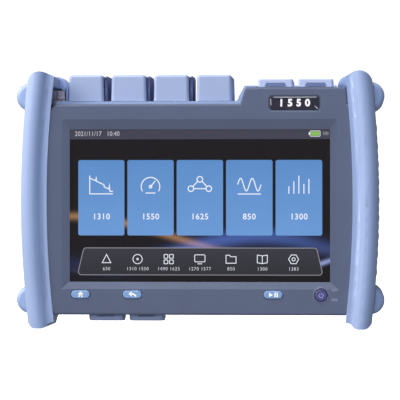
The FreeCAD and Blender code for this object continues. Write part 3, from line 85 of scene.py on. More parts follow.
class TesterColours(bpy.types.PropertyGroup):
    """Base colours of the mouldings and metal parts."""

    housing: colour("Housing", "Moulded case", (0.095, 0.113, 0.18))
    gasket: colour("Gasket", "Seal between the halves", (0.05, 0.06, 0.1))
    bumper: colour("Bumper", "Soft side guards", (0.275, 0.37, 0.635))
    cap: colour("Cap", "Dust caps and lower covers", (0.315, 0.385, 0.61))
    # Colour of the painted shade in the small covers' finger notches.
    painted_notch_shade: colour("Notch shade", "Painted shade of the finger notches on the small covers", (0.12, 0.165, 0.33))
    cover: colour("Small cover", "Two low covers on top", (0.42, 0.49, 0.74))
    lug: colour("Lug plates", "Worn plates on the strap lugs", (0.62, 0.58, 0.66))
    divider: colour("Dividers", "Ribs between the dust caps", (0.19, 0.23, 0.46))
    key: colour("Key", "Pill keys", (0.2, 0.33, 0.6))
    power: colour("Power key", "Round key", (0.062, 0.066, 0.2))
    ring: colour("Ring", "Ring round the power key", (0.1, 0.11, 0.2))
    guide: colour("Light guide", "Two light guides", (0.18, 0.2, 0.29))
    plate: colour("Plate", "Glossy plate over the screen", (0.018, 0.015, 0.034))
    mark: colour("Mark", "White marks on keys and plate", (0.95, 0.96, 1.0))
    lilac: colour("Power mark", "Mark on the power key", (0.4, 0.36, 0.85))
    glass: colour("Glass", "Black border of the screen", (0.008, 0.008, 0.01))
    steel: colour("Steel", "Pins, screws and lugs", (0.42, 0.39, 0.42))
    plated: colour("Plated metal", "Optical adapters", (0.62, 0.6, 0.55))
    ceramic: colour("Ceramic", "Sleeve inside each adapter", (0.85, 0.84, 0.8))
    gold: colour("Gold", "Socket contacts", (0.9, 0.62, 0.24))
    board: colour("Board", "Circuit boards", (0.015, 0.11, 0.045))
    black: colour("Black moulding", "Sockets and battery wrap", (0.014, 0.014, 0.016))
    stand: colour("Stand", "Folding stand", (0.09, 0.105, 0.165))


class BumperGrips(bpy.types.PropertyGroup):
    """Low nubs in staggered columns on the bumpers' outer faces."""

    rows: IntProperty(name="Rows", description="Nubs in a full column", default=9, min=1)
    columns: IntProperty(name="Columns", description="Columns from front to back", default=5,
                         min=1)
    pitch: length("Pitch", "Distance between nubs along a column", 10.8)
    spacing: length("Spacing", "Distance between columns", 10.6)
    tall: length("Length", "Length of a nub along the column", 6.4)
    wide: length("Width", "Width of a nub across the column", 4.6)
    height: length("Height", "How far a nub stands proud", 0.8)
    first: length("First", "Height of the lowest nub's middle", 33.8)
    bow: length("Bow", "Radius of the bumper's outward bow", 640.0)
    middle: length("Middle", "Height of the widest place", 77.0)
    flank: length("Flank", "Distance of the outer face from the middle", 107.4)


class BumperHoods(bpy.types.PropertyGroup):
    """Crowns of the bumpers over the strap lugs, from the middle of the case and its base."""

    outer: length("Outer side", "Where the crown runs into the bumper", 91.5)
    inner: length("Inner side", "The crown's free side", 82.6)
    foot: length("Foot", "Level of the crown's lower edge", 145.2)
    tall: length("Height", "How far the crown rises", 7.6)
    power: FloatProperty(name="Fullness", description="Power of the crown's curve", default=2.6,
                         min=1.0)
    edge: length("Edge", "Radius of the crown's front and back edges", 0.7)
    front: length("Front", "How far the crown stands before the strap lug", 1.9)
    cheek: length("Cheek", "Thickness of the thin side wall beside the lug", 0.55)


class ScreenSizes(bpy.types.PropertyGroup):
    """Layout of the lit picture, measured from the middle of the screen's lower edge."""

    border: length("Border", "Glass hidden behind the window's edge", 2.0)
    bar: length("Bar", "Height of the status bar", 6.1)
    tile_wide: length("Tile width", "Width of a tile", 27.9)
    tile_tall: length("Tile height", "Height of a tile", 45.3)
    tile_pitch: length("Tile pitch", "Distance between tiles", 29.7)
    tile_low: length("Tile foot", "Height of the tiles' lower edge", 27.9)
    tile_round: length("Tile corner", "Radius of the tiles' corners", 1.3)
    icon_level: length("Icon level", "Height of the tiles' signs", 58.4)
    number_level: length("Number level", "Height of the tiles' numbers", 39.1)
    dock_low: length("Dock foot", "Height of the dock's lower edge", 4.2)
    dock_tall: length("Dock height", "Height of the dock", 16.2)
    dock_wide: length("Dock width", "Width of the dock's lower edge", 146.6)
    dock_slant: length("Dock slant", "How far the dock's upper corners draw in", 2.9)
    sign_pitch: length("Sign pitch", "Distance between the dock's signs", 18.75)
    line: length("Line", "Width of the signs' lines", 0.62)


class StageSettings(bpy.types.PropertyGroup):
    """Floor, lights and camera."""

    floor: colour("Floor", "Plain floor and backdrop", (0.9, 0.9, 0.9))
    distance: FloatProperty(name="Distance", description="Camera to the front of the case",
                            default=1.4, min=0.1, unit="LENGTH")
    sideways: length("Sideways", "Camera's place to the right of the middle", 90.0)
    level: length("Level", "Camera's height", 77.1)
    aim: length("Aim", "Middle of the view, to the right of the case's middle", 0.5)
    width: length("Framed width", "Width in view at the front of the case", 239.5)


# ---------------------------------------------------------------- meshes
def mesh_piece(name, parts, body, material, smooth=False):
    """One object from (points, faces) parts, riding on a body. Closed parts face outwards."""
    points, faces, start = [], [], 0
    for part_points, part_faces in parts:
        points.append(part_points)
        faces.extend([tuple(int(i) + start for i in face) for face in part_faces])
        start += len(part_points)
    mesh = bpy.data.meshes.new(name)
    mesh.from_pydata(np.concatenate(points).tolist(), [], faces)
    mesh.validate()
    mesh.polygons.foreach_set("use_smooth", np.full(len(mesh.polygons), smooth))
    mesh.materials.append(material)
    piece = bpy.data.objects.new(name, mesh)
    bpy.context.scene.collection.objects.link(piece)
    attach(piece, body)
    return piece


def outward(points, faces):
    """Turn all faces of a closed shell round if its signed volume is negative."""
    corners = points[np.array([face[:3] for face in faces])]
    volume = np.einsum("ij,ij->i", corners[:, 0], np.cross(corners[:, 1], corners[:, 2])).sum()
    quads = [face for face in faces if len(face) == 4]
    if quads:
        other = points[np.array([(q[0], q[2], q[3]) for q in quads])]
        volume += np.einsum("ij,ij->i", other[:, 0], np.cross(other[:, 1], other[:, 2])).sum()
    return (points, [face[::-1] for face in faces]) if volume < 0 else (points, faces)


def shell(rings, first=None, last=None):
    """Closed shell through rings of equal count, shape (rings, points, 3).

    Ring i joins ring i + 1 point by point. A pole closes each end, or with no poles the last
    ring joins the first, as in a torus.
    """
    count, around = rings.shape[:2]
    index = np.arange(count * around).reshape(count, around)
    rows = index if first is not None else np.concatenate([index, index[:1]])
    low, high = rows[:-1], rows[1:]
    quads = np.stack([low, np.roll(low, -1, 1), np.roll(high, -1, 1), high], -1).reshape(-1, 4)
    faces = quads.tolist()
    points = rings.reshape(-1, 3)
    if first is not None:
        pole = count * around
        ends = ((index[0], pole, True), (index[-1], pole + 1, False))
        for ring, tip, flip in ends:
            pair = np.stack([ring, np.roll(ring, -1), np.full(around, tip)], -1)
            faces += (pair[:, ::-1] if flip else pair).tolist()
        points = np.concatenate([points, [first, last]])
    return outward(points, faces)


def capped(rings):
    """Shell whose ends close on the middles of its first and last rings."""
    rings = np.asarray(rings)
    return shell(rings, rings[0].mean(0), rings[-1].mean(0))


def at_depth(spots, depth):
    """Points seen from the front as (x, z), at one depth."""
    return np.stack([spots[:, 0], np.full(len(spots), depth), spots[:, 1]], -1)


def slab(edge, front, back):
    """Flat slab between two depths whose outline is seen from the front as (x, z) points."""
    return capped([at_depth(edge, front), at_depth(edge, back)])


def line(path, width, front, back, closed=False):
    """A drawn line: a flat bar of even width along (x, z) points, with mitred corners.

    Each side runs at half the width from the path, along the mean of its neighbours' normals
    divided by the cosine of half the turn.
    """
    path = np.asarray(path, float)
    steps = (np.roll(path, -1, 0) - path) if closed else np.diff(path, axis=0)
    steps /= np.linalg.norm(steps, axis=1, keepdims=True)
    if closed:
        before, after = np.roll(steps, 1, 0), steps
    else:
        before, after = np.concatenate([steps[:1], steps]), np.concatenate([steps, steps[-1:]])
    sides = before + after
    sides /= np.maximum(np.linalg.norm(sides, axis=1, keepdims=True), 1e-9)
    stretch = 1 / np.maximum(np.abs((sides * after).sum(1)), 0.35)
    normal = np.stack([-sides[:, 1], sides[:, 0]], -1) * (stretch * width / 2)[:, None]
    rings = np.stack([at_depth(path + side * normal, depth) for side, depth in (
        (1, front), (-1, front), (-1, back), (1, back))], 1)
    return shell(rings) if closed else capped(rings)


def arc(x, z, radius, start=0.0, end=360.0, count=25):
    """Points on a circle between two angles in degrees, anticlockwise from +X."""
    turn = np.radians(np.linspace(start, end, count))
    return np.stack([x + radius * np.cos(turn), z + radius * np.sin(turn)], -1)


def rounded(x_low, x_high, z_low, z_high, radius, count=7):
    """Outline of a rectangle with four quarter-circle corners."""
    spots = ((x_high - radius, z_high - radius, 0), (x_low + radius, z_high - radius, 90),
             (x_low + radius, z_low + radius, 180), (x_high - radius, z_low + radius, 270))
    return np.concatenate([arc(x, z, radius, turn, turn + 90, count) for x, z, turn in spots])


def bevelled(box, radius, front, back, bevel, side=1):
    """Closed block seen from the front as a rounded rectangle, drawn in at its face.

    box is (inner x, outer x, low z, high z), and side is -1 for its mirror image.
    """
    inner, outer, foot, top = box
    rings = []
    for inset, depth in ((bevel, front), (0.0, front + bevel), (0.0, back)):
        edge = rounded(inner + inset, outer - inset, foot + inset, top - inset,
                       max(radius - inset, 0.00005), 4)
        rings.append(at_depth(edge * (side, 1), depth))
    return capped(rings)


def figures(text, x, z, height, front, align="CENTER", bold=0.02, narrow=1.0):
    """Thin raised figures facing -Y, from Blender's own type, as welded (points, faces)."""
    curve = bpy.data.curves.new("figures", "FONT")
    curve.body = text
    curve.align_x = align
    curve.align_y = "CENTER"
    curve.size = height / 0.69
    curve.offset = bold * height
    curve.space_character = 1.1 if narrow == 1.0 else 1.0
    curve.extrude = 0.000005
    curve.resolution_u = 3
    holder = bpy.data.objects.new("figures", curve)
    bpy.context.scene.collection.objects.link(holder)
    bpy.context.view_layer.update()
    mesh = bpy.data.meshes.new_from_object(holder)
    found = np.zeros(len(mesh.vertices) * 3)
    mesh.vertices.foreach_get("co", found)
    welded, place = np.unique(np.round(found.reshape(-1, 3), 7), axis=0, return_inverse=True)
    place = place.ravel()
    points = np.stack([welded[:, 0] * narrow + x, front - welded[:, 2], welded[:, 1] + z], -1)
    faces = [tuple(place[list(polygon.vertices)]) for polygon in mesh.polygons]
    faces = [face for face in faces if len(set(face)) == len(face)]
    bpy.data.objects.remove(holder)
    bpy.data.meshes.remove(mesh)
    bpy.data.curves.remove(curve)
    return points, faces


# ---------------------------------------------------------------- shader groups and finishes
NODE_GAP, NODE_ROWS = 200, 5        # spacing of the nodes in the editor, and nodes per column
COLOUR, NUMBER, VECTOR = "NodeSocketColor", "NodeSocketFloat", "NodeSocketVector"
EULER = 2.718


def wire(tree, kind, settings=None, **inputs):
    """Add a node after the others. Inputs are values or sockets, named as the node names them."""
    column, row = divmod(len(tree.nodes), NODE_ROWS)
    node = tree.nodes.new(kind)
    node.location = (column * NODE_GAP, -row * NODE_GAP)
    for name, value in (settings or {}).items():
        setattr(node, name, value)
    for name, value in inputs.items():
        socket = node.inputs[int(name[1:]) if name[1:].isdigit() else name.replace("_", " ")]
        if isinstance(value, bpy.types.NodeSocket):
            tree.links.new(value, socket)
        else:
            socket.default_value = value
    return node


def math_node(tree, operation, first, second=0.0, third=0.0, clamp=False):
    return wire(tree, "ShaderNodeMath", {"operation": operation, "use_clamp": clamp},
                i0=first, i1=second, i2=third).outputs[0]


def mix_colour(tree, factor, first, second, blend="MIX"):
    return wire(tree, "ShaderNodeMix", {"data_type": "RGBA", "blend_type": blend},
                i0=factor, i6=first, i7=second).outputs[2]


def scaled(tree, colour_socket, factor):
    return wire(tree, "ShaderNodeVectorMath", {"operation": "SCALE"}, i0=colour_socket,
                Scale=factor).outputs[0]


def surface_place(tree):
    return wire(tree, "ShaderNodeTexCoord").outputs["Object"]


def noise(tree, place, scale, detail=2.0):
    return wire(tree, "ShaderNodeTexNoise", Vector=place, Scale=scale, Detail=detail).outputs[0]


def vary(tree, pattern, amount, base, clamp=False):
    """base + amount (pattern - 0.5)"""
    return math_node(tree, "MULTIPLY_ADD", math_node(tree, "SUBTRACT", pattern, 0.5), amount,
                     base, clamp=clamp)


def bell(tree, value, width):
    """exp(-(value / width)^2)"""
    share = math_node(tree, "POWER", math_node(tree, "DIVIDE", value, width), 2.0)
    return math_node(tree, "POWER", EULER, math_node(tree, "MULTIPLY", share, -1.0))


def new_group(name, inputs, outputs):
    """An empty shader node group with named sockets and its two end nodes."""
    group = bpy.data.node_groups.new(name, "ShaderNodeTree")
    for label, kind, default in inputs:
        socket = group.interface.new_socket(label, in_out="INPUT", socket_type=kind)
        socket.default_value = default
    for label, kind in outputs:
        group.interface.new_socket(label, in_out="OUTPUT", socket_type=kind)
    return (group, wire(group, "NodeGroupInput").outputs,
            wire(group, "NodeGroupOutput").inputs)


def moulded_skin():
    """Moulded surface: fine grain, slow tone drift, and edges mixed towards a paler or darker edge
    colour: partly rubbed wear, partly a painted highlight along the edge.
    """
    if "moulded skin" in bpy.data.node_groups:
        return bpy.data.node_groups["moulded skin"]
    group, given, out = new_group(
        "moulded skin",
        [("Colour", COLOUR, (0.5, 0.5, 0.5, 1)), ("Roughness", NUMBER, 0.5),
         ("Grain", NUMBER, 2500.0), ("Drift", NUMBER, 0.06),
         ("Edge Colour", COLOUR, (1, 1, 1, 1)), ("Edge", NUMBER, 0.4),
         ("Edge Width", NUMBER, 0.0006)],
        [("Colour", COLOUR), ("Roughness", NUMBER), ("Height", NUMBER)])
    place = surface_place(group)
    fine = noise(group, place, given["Grain"], 3.0)
    slow = noise(group, place, 38.0)
    smear = noise(group, place, 140.0, 4.0)
    soft = wire(group, "ShaderNodeBevel", {"samples": 4}, Radius=given["Edge Width"])
    plain = wire(group, "ShaderNodeNewGeometry").outputs["Normal"]
    match = wire(group, "ShaderNodeVectorMath", {"operation": "DOT_PRODUCT"},
                 i0=soft.outputs[0], i1=plain).outputs["Value"]
    # Edge mask: where the bevelled normal leaves the plain normal, the colour turns to Edge Colour,
    # partly as rubbed wear and partly as a painted highlight along the edge.
    rub_and_highlight = math_node(group, "MULTIPLY", math_node(group, "SUBTRACT", 1.0, match), 9.0, clamp=True)
    for share in (math_node(group, "ADD", smear, 0.25), given["Edge"]):
        rub_and_highlight = math_node(group, "MULTIPLY", rub_and_highlight, share, clamp=True)
    tone = math_node(group, "MULTIPLY", math_node(group, "SUBTRACT", slow, 0.5), given["Drift"])
    tone = math_node(group, "MULTIPLY_ADD", tone, 2.0, 1.0)
    toned = scaled(group, given["Colour"], vary(group, fine, 0.1, tone))
    shine = math_node(group, "MULTIPLY_ADD", rub_and_highlight, -0.08,
                      vary(group, smear, 0.16, given["Roughness"]), clamp=True)
    group.links.new(mix_colour(group, rub_and_highlight, toned, given["Edge Colour"]), out["Colour"])
    group.links.new(shine, out["Roughness"])
    group.links.new(fine, out["Height"])
    return group


def drawn_metal():
    """Metal with fine lines along one axis and faint darker stains."""
    if "drawn metal" in bpy.data.node_groups:
        return bpy.data.node_groups["drawn metal"]
    group, given, out = new_group(
        "drawn metal",
        [("Colour", COLOUR, (0.5, 0.5, 0.5, 1)), ("Roughness", NUMBER, 0.35),
         ("Stretch", VECTOR, (1500.0, 1500.0, 120.0)), ("Stain", NUMBER, 0.2)],
        [("Colour", COLOUR), ("Roughness", NUMBER), ("Height", NUMBER)])
    place = surface_place(group)
    pulled = wire(group, "ShaderNodeVectorMath", {"operation": "MULTIPLY"}, i0=place,
                  i1=given["Stretch"]).outputs[0]
    lines = noise(group, pulled, 1.0, 3.0)
    spots = math_node(group, "POWER", noise(group, place, 420.0, 4.0), 2.0)
    dirt = math_node(group, "MULTIPLY", spots, given["Stain"], clamp=True)
    dull = mix_colour(group, dirt, given["Colour"], (0.08, 0.075, 0.08, 1))
    group.links.new(dull, out["Colour"])
    group.links.new(vary(group, lines, 0.3, given["Roughness"], clamp=True), out["Roughness"])
    group.links.new(lines, out["Height"])
    return group


def new_material(name, **settings):
    """A Principled material with the given values, its node tree and its shader."""
    material = bpy.data.materials.new(name)
    material.use_nodes = True
    shader = material.node_tree.nodes["Principled BSDF"]
    for label, value in settings.items():
        shader.inputs[label.replace("_", " ")].default_value = value
    return material, material.node_tree, shader.inputs


def finish(name, group, colour_value, bump=0.1, metallic=0.0, coat=0.0, coat_rough=0.1,
           sheen=0.0, specular=0.5, **inputs):
    """A Principled material fed by one of the surface groups."""
    if name in bpy.data.materials:
        return bpy.data.materials[name]
    material, tree, shader = new_material(
        name, Metallic=metallic, Coat_Weight=coat, Coat_Roughness=coat_rough,
        Sheen_Weight=sheen, Specular_IOR_Level=specular)
    surface = wire(tree, "ShaderNodeGroup", {"node_tree": group}, Colour=(*colour_value, 1),
                   **inputs).outputs
    relief = wire(tree, "ShaderNodeBump", Height=surface["Height"], Strength=bump,
                  Distance=0.0001)
    tree.links.new(surface["Colour"], shader["Base Color"])
    tree.links.new(surface["Roughness"], shader["Roughness"])
    tree.links.new(relief.outputs[0], shader["Normal"])
    return material


def picture_material(name, roughness):
    """A dark material that only glows. Its Emission Color is still to be linked."""
    return new_material(name, Base_Color=(0.004, 0.004, 0.005, 1), Emission_Strength=1.0,
                        Roughness=roughness, Specular_IOR_Level=0.3)


def lit(name, low, high, z_low, z_high, grain=0.04):
    """Part of the lit picture: a colour that runs upwards, under clear glass."""
    if name in bpy.data.materials:
        return bpy.data.materials[name]
    material, tree, shader = picture_material(name, 0.22)
    place = surface_place(tree)
    height = wire(tree, "ShaderNodeSeparateXYZ", Vector=place).outputs[2]
    part = wire(tree, "ShaderNodeMapRange", Value=height, From_Min=z_low,
                From_Max=z_high).outputs[0]
    blend = mix_colour(tree, part, (*low, 1), (*high, 1))
    level = vary(tree, noise(tree, place, 60.0), grain, 1.0)
    tree.links.new(scaled(tree, blend, level), shader["Emission Color"])
    return material


def wallpaper(name, width, low, high):
    """Dark picture with two slow waves of blue light that cross a warm one.

    Each wave is a bell curve about a sine line: exp(-((z - base - swing sin(k x + p)) / w)^2),
    faded along its length.
    """
    if name in bpy.data.materials:
        return bpy.data.materials[name]
    material, tree, shader = picture_material(name, 0.2)
    split = wire(tree, "ShaderNodeSeparateXYZ", Vector=surface_place(tree)).outputs
    across = math_node(tree, "DIVIDE", split[0], width)
    upward = wire(tree, "ShaderNodeMapRange", {"clamp": False}, Value=split[2], From_Min=low,
                  From_Max=high).outputs[0]
    total, fade = (0.008, 0.006, 0.0075, 1), 0.42
    waves = ((0.2, 0.1, 5.2, 0.4, 0.05, (0.05, 0.1, 0.34, 1), 0.12),
             (0.14, 0.07, 8.4, 2.1, 0.016, (0.3, 0.36, 0.72, 1), 0.3),
             (0.3, 0.13, 4.1, 3.6, 0.024, (0.36, 0.18, 0.08, 1), -0.3))
    for base, swing, turns, phase, spread, tint, centre in waves:
        angle = math_node(tree, "MULTIPLY_ADD", across, turns, phase)
        ridge = math_node(tree, "MULTIPLY_ADD", math_node(tree, "SINE", angle), swing, base)
        away = math_node(tree, "SUBTRACT", upward, ridge)
        along = math_node(tree, "SUBTRACT", across, centre)
        strength = math_node(tree, "MULTIPLY", bell(tree, away, spread), bell(tree, along, fade))
        total = mix_colour(tree, strength, total, tint, "ADD")
    tree.links.new(total, shader["Emission Color"])
    return material


def finishes(colours):
    """Every material slot's finish."""
    skin, metal = moulded_skin(), drawn_metal()
    # Each Edge Colour below is mixed in along the edges: partly rubbed wear, partly a painted
    # highlight.
    return {
        "case": finish("case skin", skin, colours.housing, 0.22, specular=0.3, Roughness=0.5,
                       Grain=2600.0, Drift=0.07, Edge_Colour=(0.3, 0.35, 0.5, 1), Edge=0.35),
        "case_dark": finish("gasket rubber", skin, colours.gasket, 0.2, Roughness=0.7, Edge=0.1),
        "bumper": finish("bumper rubber", skin, colours.bumper, 0.16, sheen=0.25, specular=0.8,
                         Roughness=0.46, Grain=1900.0, Drift=0.05, Edge_Colour=(0.5, 0.56, 0.72, 1),
                         Edge=0.3),
        "cap": finish("cap moulding", skin, colours.cap, 0.12, coat=0.12, coat_rough=0.3,
                      Roughness=0.42, Drift=0.05, Edge_Colour=(0.56, 0.62, 0.82, 1), Edge=0.45),
        "cover": finish("cover moulding", skin, colours.cover, 0.12, Roughness=0.45, Drift=0.05,
                        Edge_Colour=(0.6, 0.66, 0.86, 1), Edge=0.35),
        "key": finish("key moulding", skin, colours.key, 0.08, coat=0.2, coat_rough=0.2,
                      Roughness=0.38, Drift=0.03, Edge_Colour=(0.5, 0.6, 0.9, 1), Edge=0.3,
                      Edge_Width=0.0003),
        "power_key": finish("power key moulding", skin, colours.power, 0.06, coat=0.4,
                            coat_rough=0.15, Roughness=0.3, Drift=0.04,
                            Edge_Colour=(0.2, 0.2, 0.45, 1), Edge=0.3, Edge_Width=0.0003),
        "ring": finish("ring moulding", skin, colours.ring, 0.06, coat=0.3, Roughness=0.3,
                       Edge_Colour=(0.3, 0.33, 0.5, 1), Edge=0.4, Edge_Width=0.0003),
        "light_guide": finish("light guide", skin, colours.guide, 0.03, coat=0.5, Roughness=0.22,
                              Edge=0.1),
        # Painted glint: the plate's pale Edge Colour brightens its dark glossy edges in place of
        # reflected light.
        "plate": finish("plate gloss", skin, colours.plate, 0.02, coat=1.0, coat_rough=0.04,
                        Roughness=0.16, Drift=0.02, Edge_Colour=(0.4, 0.42, 0.5, 1), Edge=0.25,
                        Edge_Width=0.0003),
        "screen_glass": finish("screen border", skin, colours.glass, 0.0, coat=1.0,
                               coat_rough=0.03, Roughness=0.12, Drift=0.02, Edge=0.0),
        "lcd": finish("panel", skin, colours.glass, 0.02, Roughness=0.3, Edge=0.05),
        "tray": finish("tray metal", metal, (0.6, 0.6, 0.62), 0.1, metallic=1.0, Roughness=0.4,
                       Stretch=(120.0, 1500.0, 1500.0)),
        "board": finish("board lacquer", skin, colours.board, 0.1, coat=0.4, Roughness=0.35,
                        Grain=900.0, Drift=0.2, Edge_Colour=(0.2, 0.24, 0.12, 1)),
        "steel": finish("satin steel", metal, colours.steel, 0.12, metallic=0.7, Roughness=0.36),
        "adapter": finish("plated metal", metal, colours.plated, 0.08, metallic=1.0,
                          Roughness=0.26, Stain=0.12),
        "module": finish("module metal", metal, (0.5, 0.5, 0.52), 0.12, metallic=1.0,
                         Roughness=0.42),
        "socket": finish("socket moulding", skin, colours.black, 0.1, Roughness=0.5, Edge=0.2,
                         Edge_Colour=(0.1, 0.1, 0.11, 1)),
        "battery": finish("battery wrap", skin, colours.black, 0.05, coat=0.2, Roughness=0.4,
                          Edge=0.2, Edge_Colour=(0.12, 0.12, 0.13, 1)),
        "stand": finish("stand moulding", skin, colours.stand, 0.22, Roughness=0.5,
                        Edge_Colour=(0.25, 0.29, 0.42, 1), Edge=0.4),
    }


class TESTER_OT_finishes(bpy.types.Operator):
    """Give every CAD node its finish"""

    bl_idname = "tester.finishes"
    bl_label = "Finishes"

    def execute(self, context):
        made = finishes(context.scene.tester_colours)
        for part in frame["record"]["subparts"]:
            node = frame["nodes"][part["node"]]
            material = made[part["material_slot"]]
            if not node.material_slots:
                node.data.materials.append(material)
            for slot in node.material_slots:
                slot.material = material
        return {"FINISHED"}


# ---------------------------------------------------------------- bumpers
class TESTER_OT_bumper_grips(bpy.types.Operator):
    """Staggered low nubs on the outer face of each bumper"""

    bl_idname = "tester.bumper_grips"
    bl_label = "Bumper grips"

    def execute(self, context):
        """Nub height over a patch (a, b) in [-1, 1]: height (1 - |a|^3) (1 - |b|^3).

        The patch lies on the bumper's outer face, a cylinder about a far axis along Y.
        """
        grips = context.scene.tester_grips
        material = bpy.data.materials["bumper rubber"]
        count, sink, root = 9, 0.0004, 0.0006
        steps = np.linspace(-1, 1, count)
        a, b = np.meshgrid(steps, steps, indexing="ij")
        swell = grips.height * (1 - abs(a) ** 3) * (1 - abs(b) ** 3)
        index = np.arange(count ** 2).reshape(count, count)
        quads = np.stack([index[:-1, :-1], index[1:, :-1], index[1:, 1:], index[:-1, 1:]],
                         -1).reshape(-1, 4)
        rim = np.concatenate([index[0, :-1], index[:-1, -1], index[-1, :0:-1], index[:0:-1, 0]])
        for side, sign in SIDES:
            parts = []
            for column in range(grips.columns):
                odd = column % 2
                depth = (column - (grips.columns - 1) / 2) * grips.spacing
                for row in range(grips.rows - odd):
                    level = grips.first + (row + odd / 2) * grips.pitch
                    turn = (level - grips.middle + a * grips.tall / 2) / grips.bow
                    reach = grips.bow + swell - sink
                    points = np.stack([
                        sign * (grips.flank - grips.bow + reach * np.cos(turn)),
                        depth + b * grips.wide / 2,
                        grips.middle + reach * np.sin(turn)], -1).reshape(-1, 3)
                    low = points[rim] - np.array([sign * root, 0, 0])
                    base = count ** 2 + np.arange(len(rim))
                    walls = np.stack([rim, base, np.roll(base, -1), np.roll(rim, -1)], -1)
                    points = np.concatenate([points, low])
                    faces = quads.tolist() + walls.tolist() + [base[::-1].tolist()]
                    parts.append(self.turned(points, faces, count))
            mesh_piece(f"bumper_grips_{side}", parts, "case", material, smooth=True)
        return {"FINISHED"}

    @staticmethod
    def turned(points, faces, count):
        """Face the swell outwards, judged by its middle point and the face beside that."""
        corner = points[faces[count * (count - 1) // 2]]
        normal = np.cross(corner[1] - corner[0], corner[2] - corner[0])
        if normal[0] * points[count ** 2 // 2][0] < 0:
            faces = [face[::-1] for face in faces]
        return points, faces


class TESTER_OT_bumper_hoods(bpy.types.Operator):
    """Moulded crown and thin cheek over each strap lug"""

    bl_idname = "tester.bumper_hoods"
    bl_label = "Bumper hoods"

    def execute(self, context):
        """Crown outline: a quarter of |u|^p + |v|^p = 1, carried back with rounded edges.

        Each ring is the outline moved in by edge (1 - sin t) at a depth of edge (1 - cos t).
        """
        hoods = context.scene.tester_hoods
        material = bpy.data.materials["bumper rubber"]
        turn = np.linspace(0, math.pi / 2, 19)
        wide = hoods.outer - hoods.inner
        power = 2 / hoods.power
        curve = np.stack([hoods.outer - wide * np.cos(turn) ** power,
                          hoods.foot + hoods.tall * np.sin(turn) ** power], -1)
        middle = np.array([hoods.outer, hoods.foot])
        roll = np.linspace(0, math.pi / 2, 6)
        for side, sign in SIDES:
            low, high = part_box("strap_lug_" + side)
            front, back = low.y - hoods.front, high.y
            rings = []
            for depth, inset in [(front + hoods.edge * (1 - math.cos(t)), 1 - math.sin(t))
                                 for t in roll] + [(back, 0.0)]:
                edge = np.concatenate([middle + (curve - middle) * (
                    1 - inset * hoods.edge / wide), [middle]])
                edge[:, 1] += inset * hoods.edge / 2
                rings.append(at_depth(edge * (sign, 1), depth))
            parts = [capped(rings)]
            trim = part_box("top_trim")[0].z + 0.001
            cheek = rounded(hoods.inner, hoods.inner + hoods.cheek, trim, hoods.foot + 0.002,
                            hoods.cheek / 2.1, 3)
            parts.append(slab(cheek * (sign, 1), front + hoods.edge, back))
            wall = rounded(hoods.inner, hoods.outer, hoods.foot - 0.0026, hoods.foot + 0.002,
                           hoods.cheek, 3)
            parts.append(slab(wall * (sign, 1), back + 0.0001, back + hoods.cheek))
            mesh_piece(f"bumper_hood_{side}", parts, "case", material, smooth=True)
        return {"FINISHED"}


class TESTER_OT_lug_plates(bpy.types.Operator):
    """Four bevelled plates on the front of each strap lug, in two steps"""

    bl_idname = "tester.lug_plates"
    bl_label = "Lug plates"

    def execute(self, context):
        metal = finish("worn plate", drawn_metal(), context.scene.tester_colours.lug, 0.1,
                       metallic=0.25, Roughness=0.4, Stain=0.5)
        radius, bevel, proud, sunk = 0.0006, 0.0004, 0.0004, 0.0003
        lower, step, gap, recess = 0.0002, 0.0041, 0.0005, 0.0009
        for side, sign in SIDES:
            low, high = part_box("strap_lug_" + side)
            inner = min(abs(low.x), abs(high.x))
            split = low.z + step
            # Sides from the lug's inner edge, then foot, top and depth behind the lug's front.
            plates = ((0.0004, 0.0049, split, high.z - 0.0008, recess),
                      (0.0055, 0.0096, split, high.z - 0.0003, recess),
                      (0.0002, 0.0022, low.z + lower, split - gap, 0.0),
                      (0.0028, 0.0096, low.z + lower, split - gap, 0.0))
            parts = [bevelled((inner + near, inner + far, foot, top), radius,
                              low.y + back - proud, low.y + back + sunk, bevel, sign)
                     for near, far, foot, top, back in plates]
            mesh_piece(f"lug_plates_{side}", parts, "case", metal)
        return {"FINISHED"}


class TESTER_OT_port_dividers(bpy.types.Operator):
    """Rubber ribs between neighbouring dust caps"""

    bl_idname = "tester.port_dividers"
    bl_label = "Port dividers"

    def execute(self, context):
        rubber = finish("divider rubber", moulded_skin(), context.scene.tester_colours.divider,
                        0.16, Roughness=0.55, Edge=0.1)
        clear, slit, tall, lift = 0.00035, 0.0026, 0.0156, 0.001
        recess, reach, radius, bevel = 0.003, 0.036, 0.0012, 0.0008
        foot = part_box("top_trim")[0].z + lift
        parts = []
        for number in range(1, 4):
            (low, high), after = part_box(f"port_cap_{number}"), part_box(f"port_cap_{number + 1}")[0]
            parts.append(bevelled((high.x + clear, after.x - slit, foot, low.z + tall), radius,
                                  low.y + recess, low.y + reach, bevel))
        mesh_piece("port_dividers", parts, "case", rubber)
        return {"FINISHED"}


# ---------------------------------------------------------------- key marks and plate
MARK_UNIT = 0.00116                 # scale of the signs on the pill keys
MARK_FRONT, MARK_BACK = 0.00004, 0.00002
TAIL_WIDE = 0.0009                  # tail of the back arrow
POWER_FACE = 0.00015                # how far the round key's face lies behind its rim
POWER_RADIUS, POWER_LINE, POWER_STEM = 0.00125, 0.00036, (0.0003, 0.0016)


def key_face(node, sunk=0.0):
    """Middle of a key seen from the front, and the front and back depths of its mark."""
    low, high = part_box(node)
    face = low.y + sunk
    return (np.array([low.x + high.x, low.z + high.z]) / 2, face - MARK_FRONT,
            face + MARK_BACK)


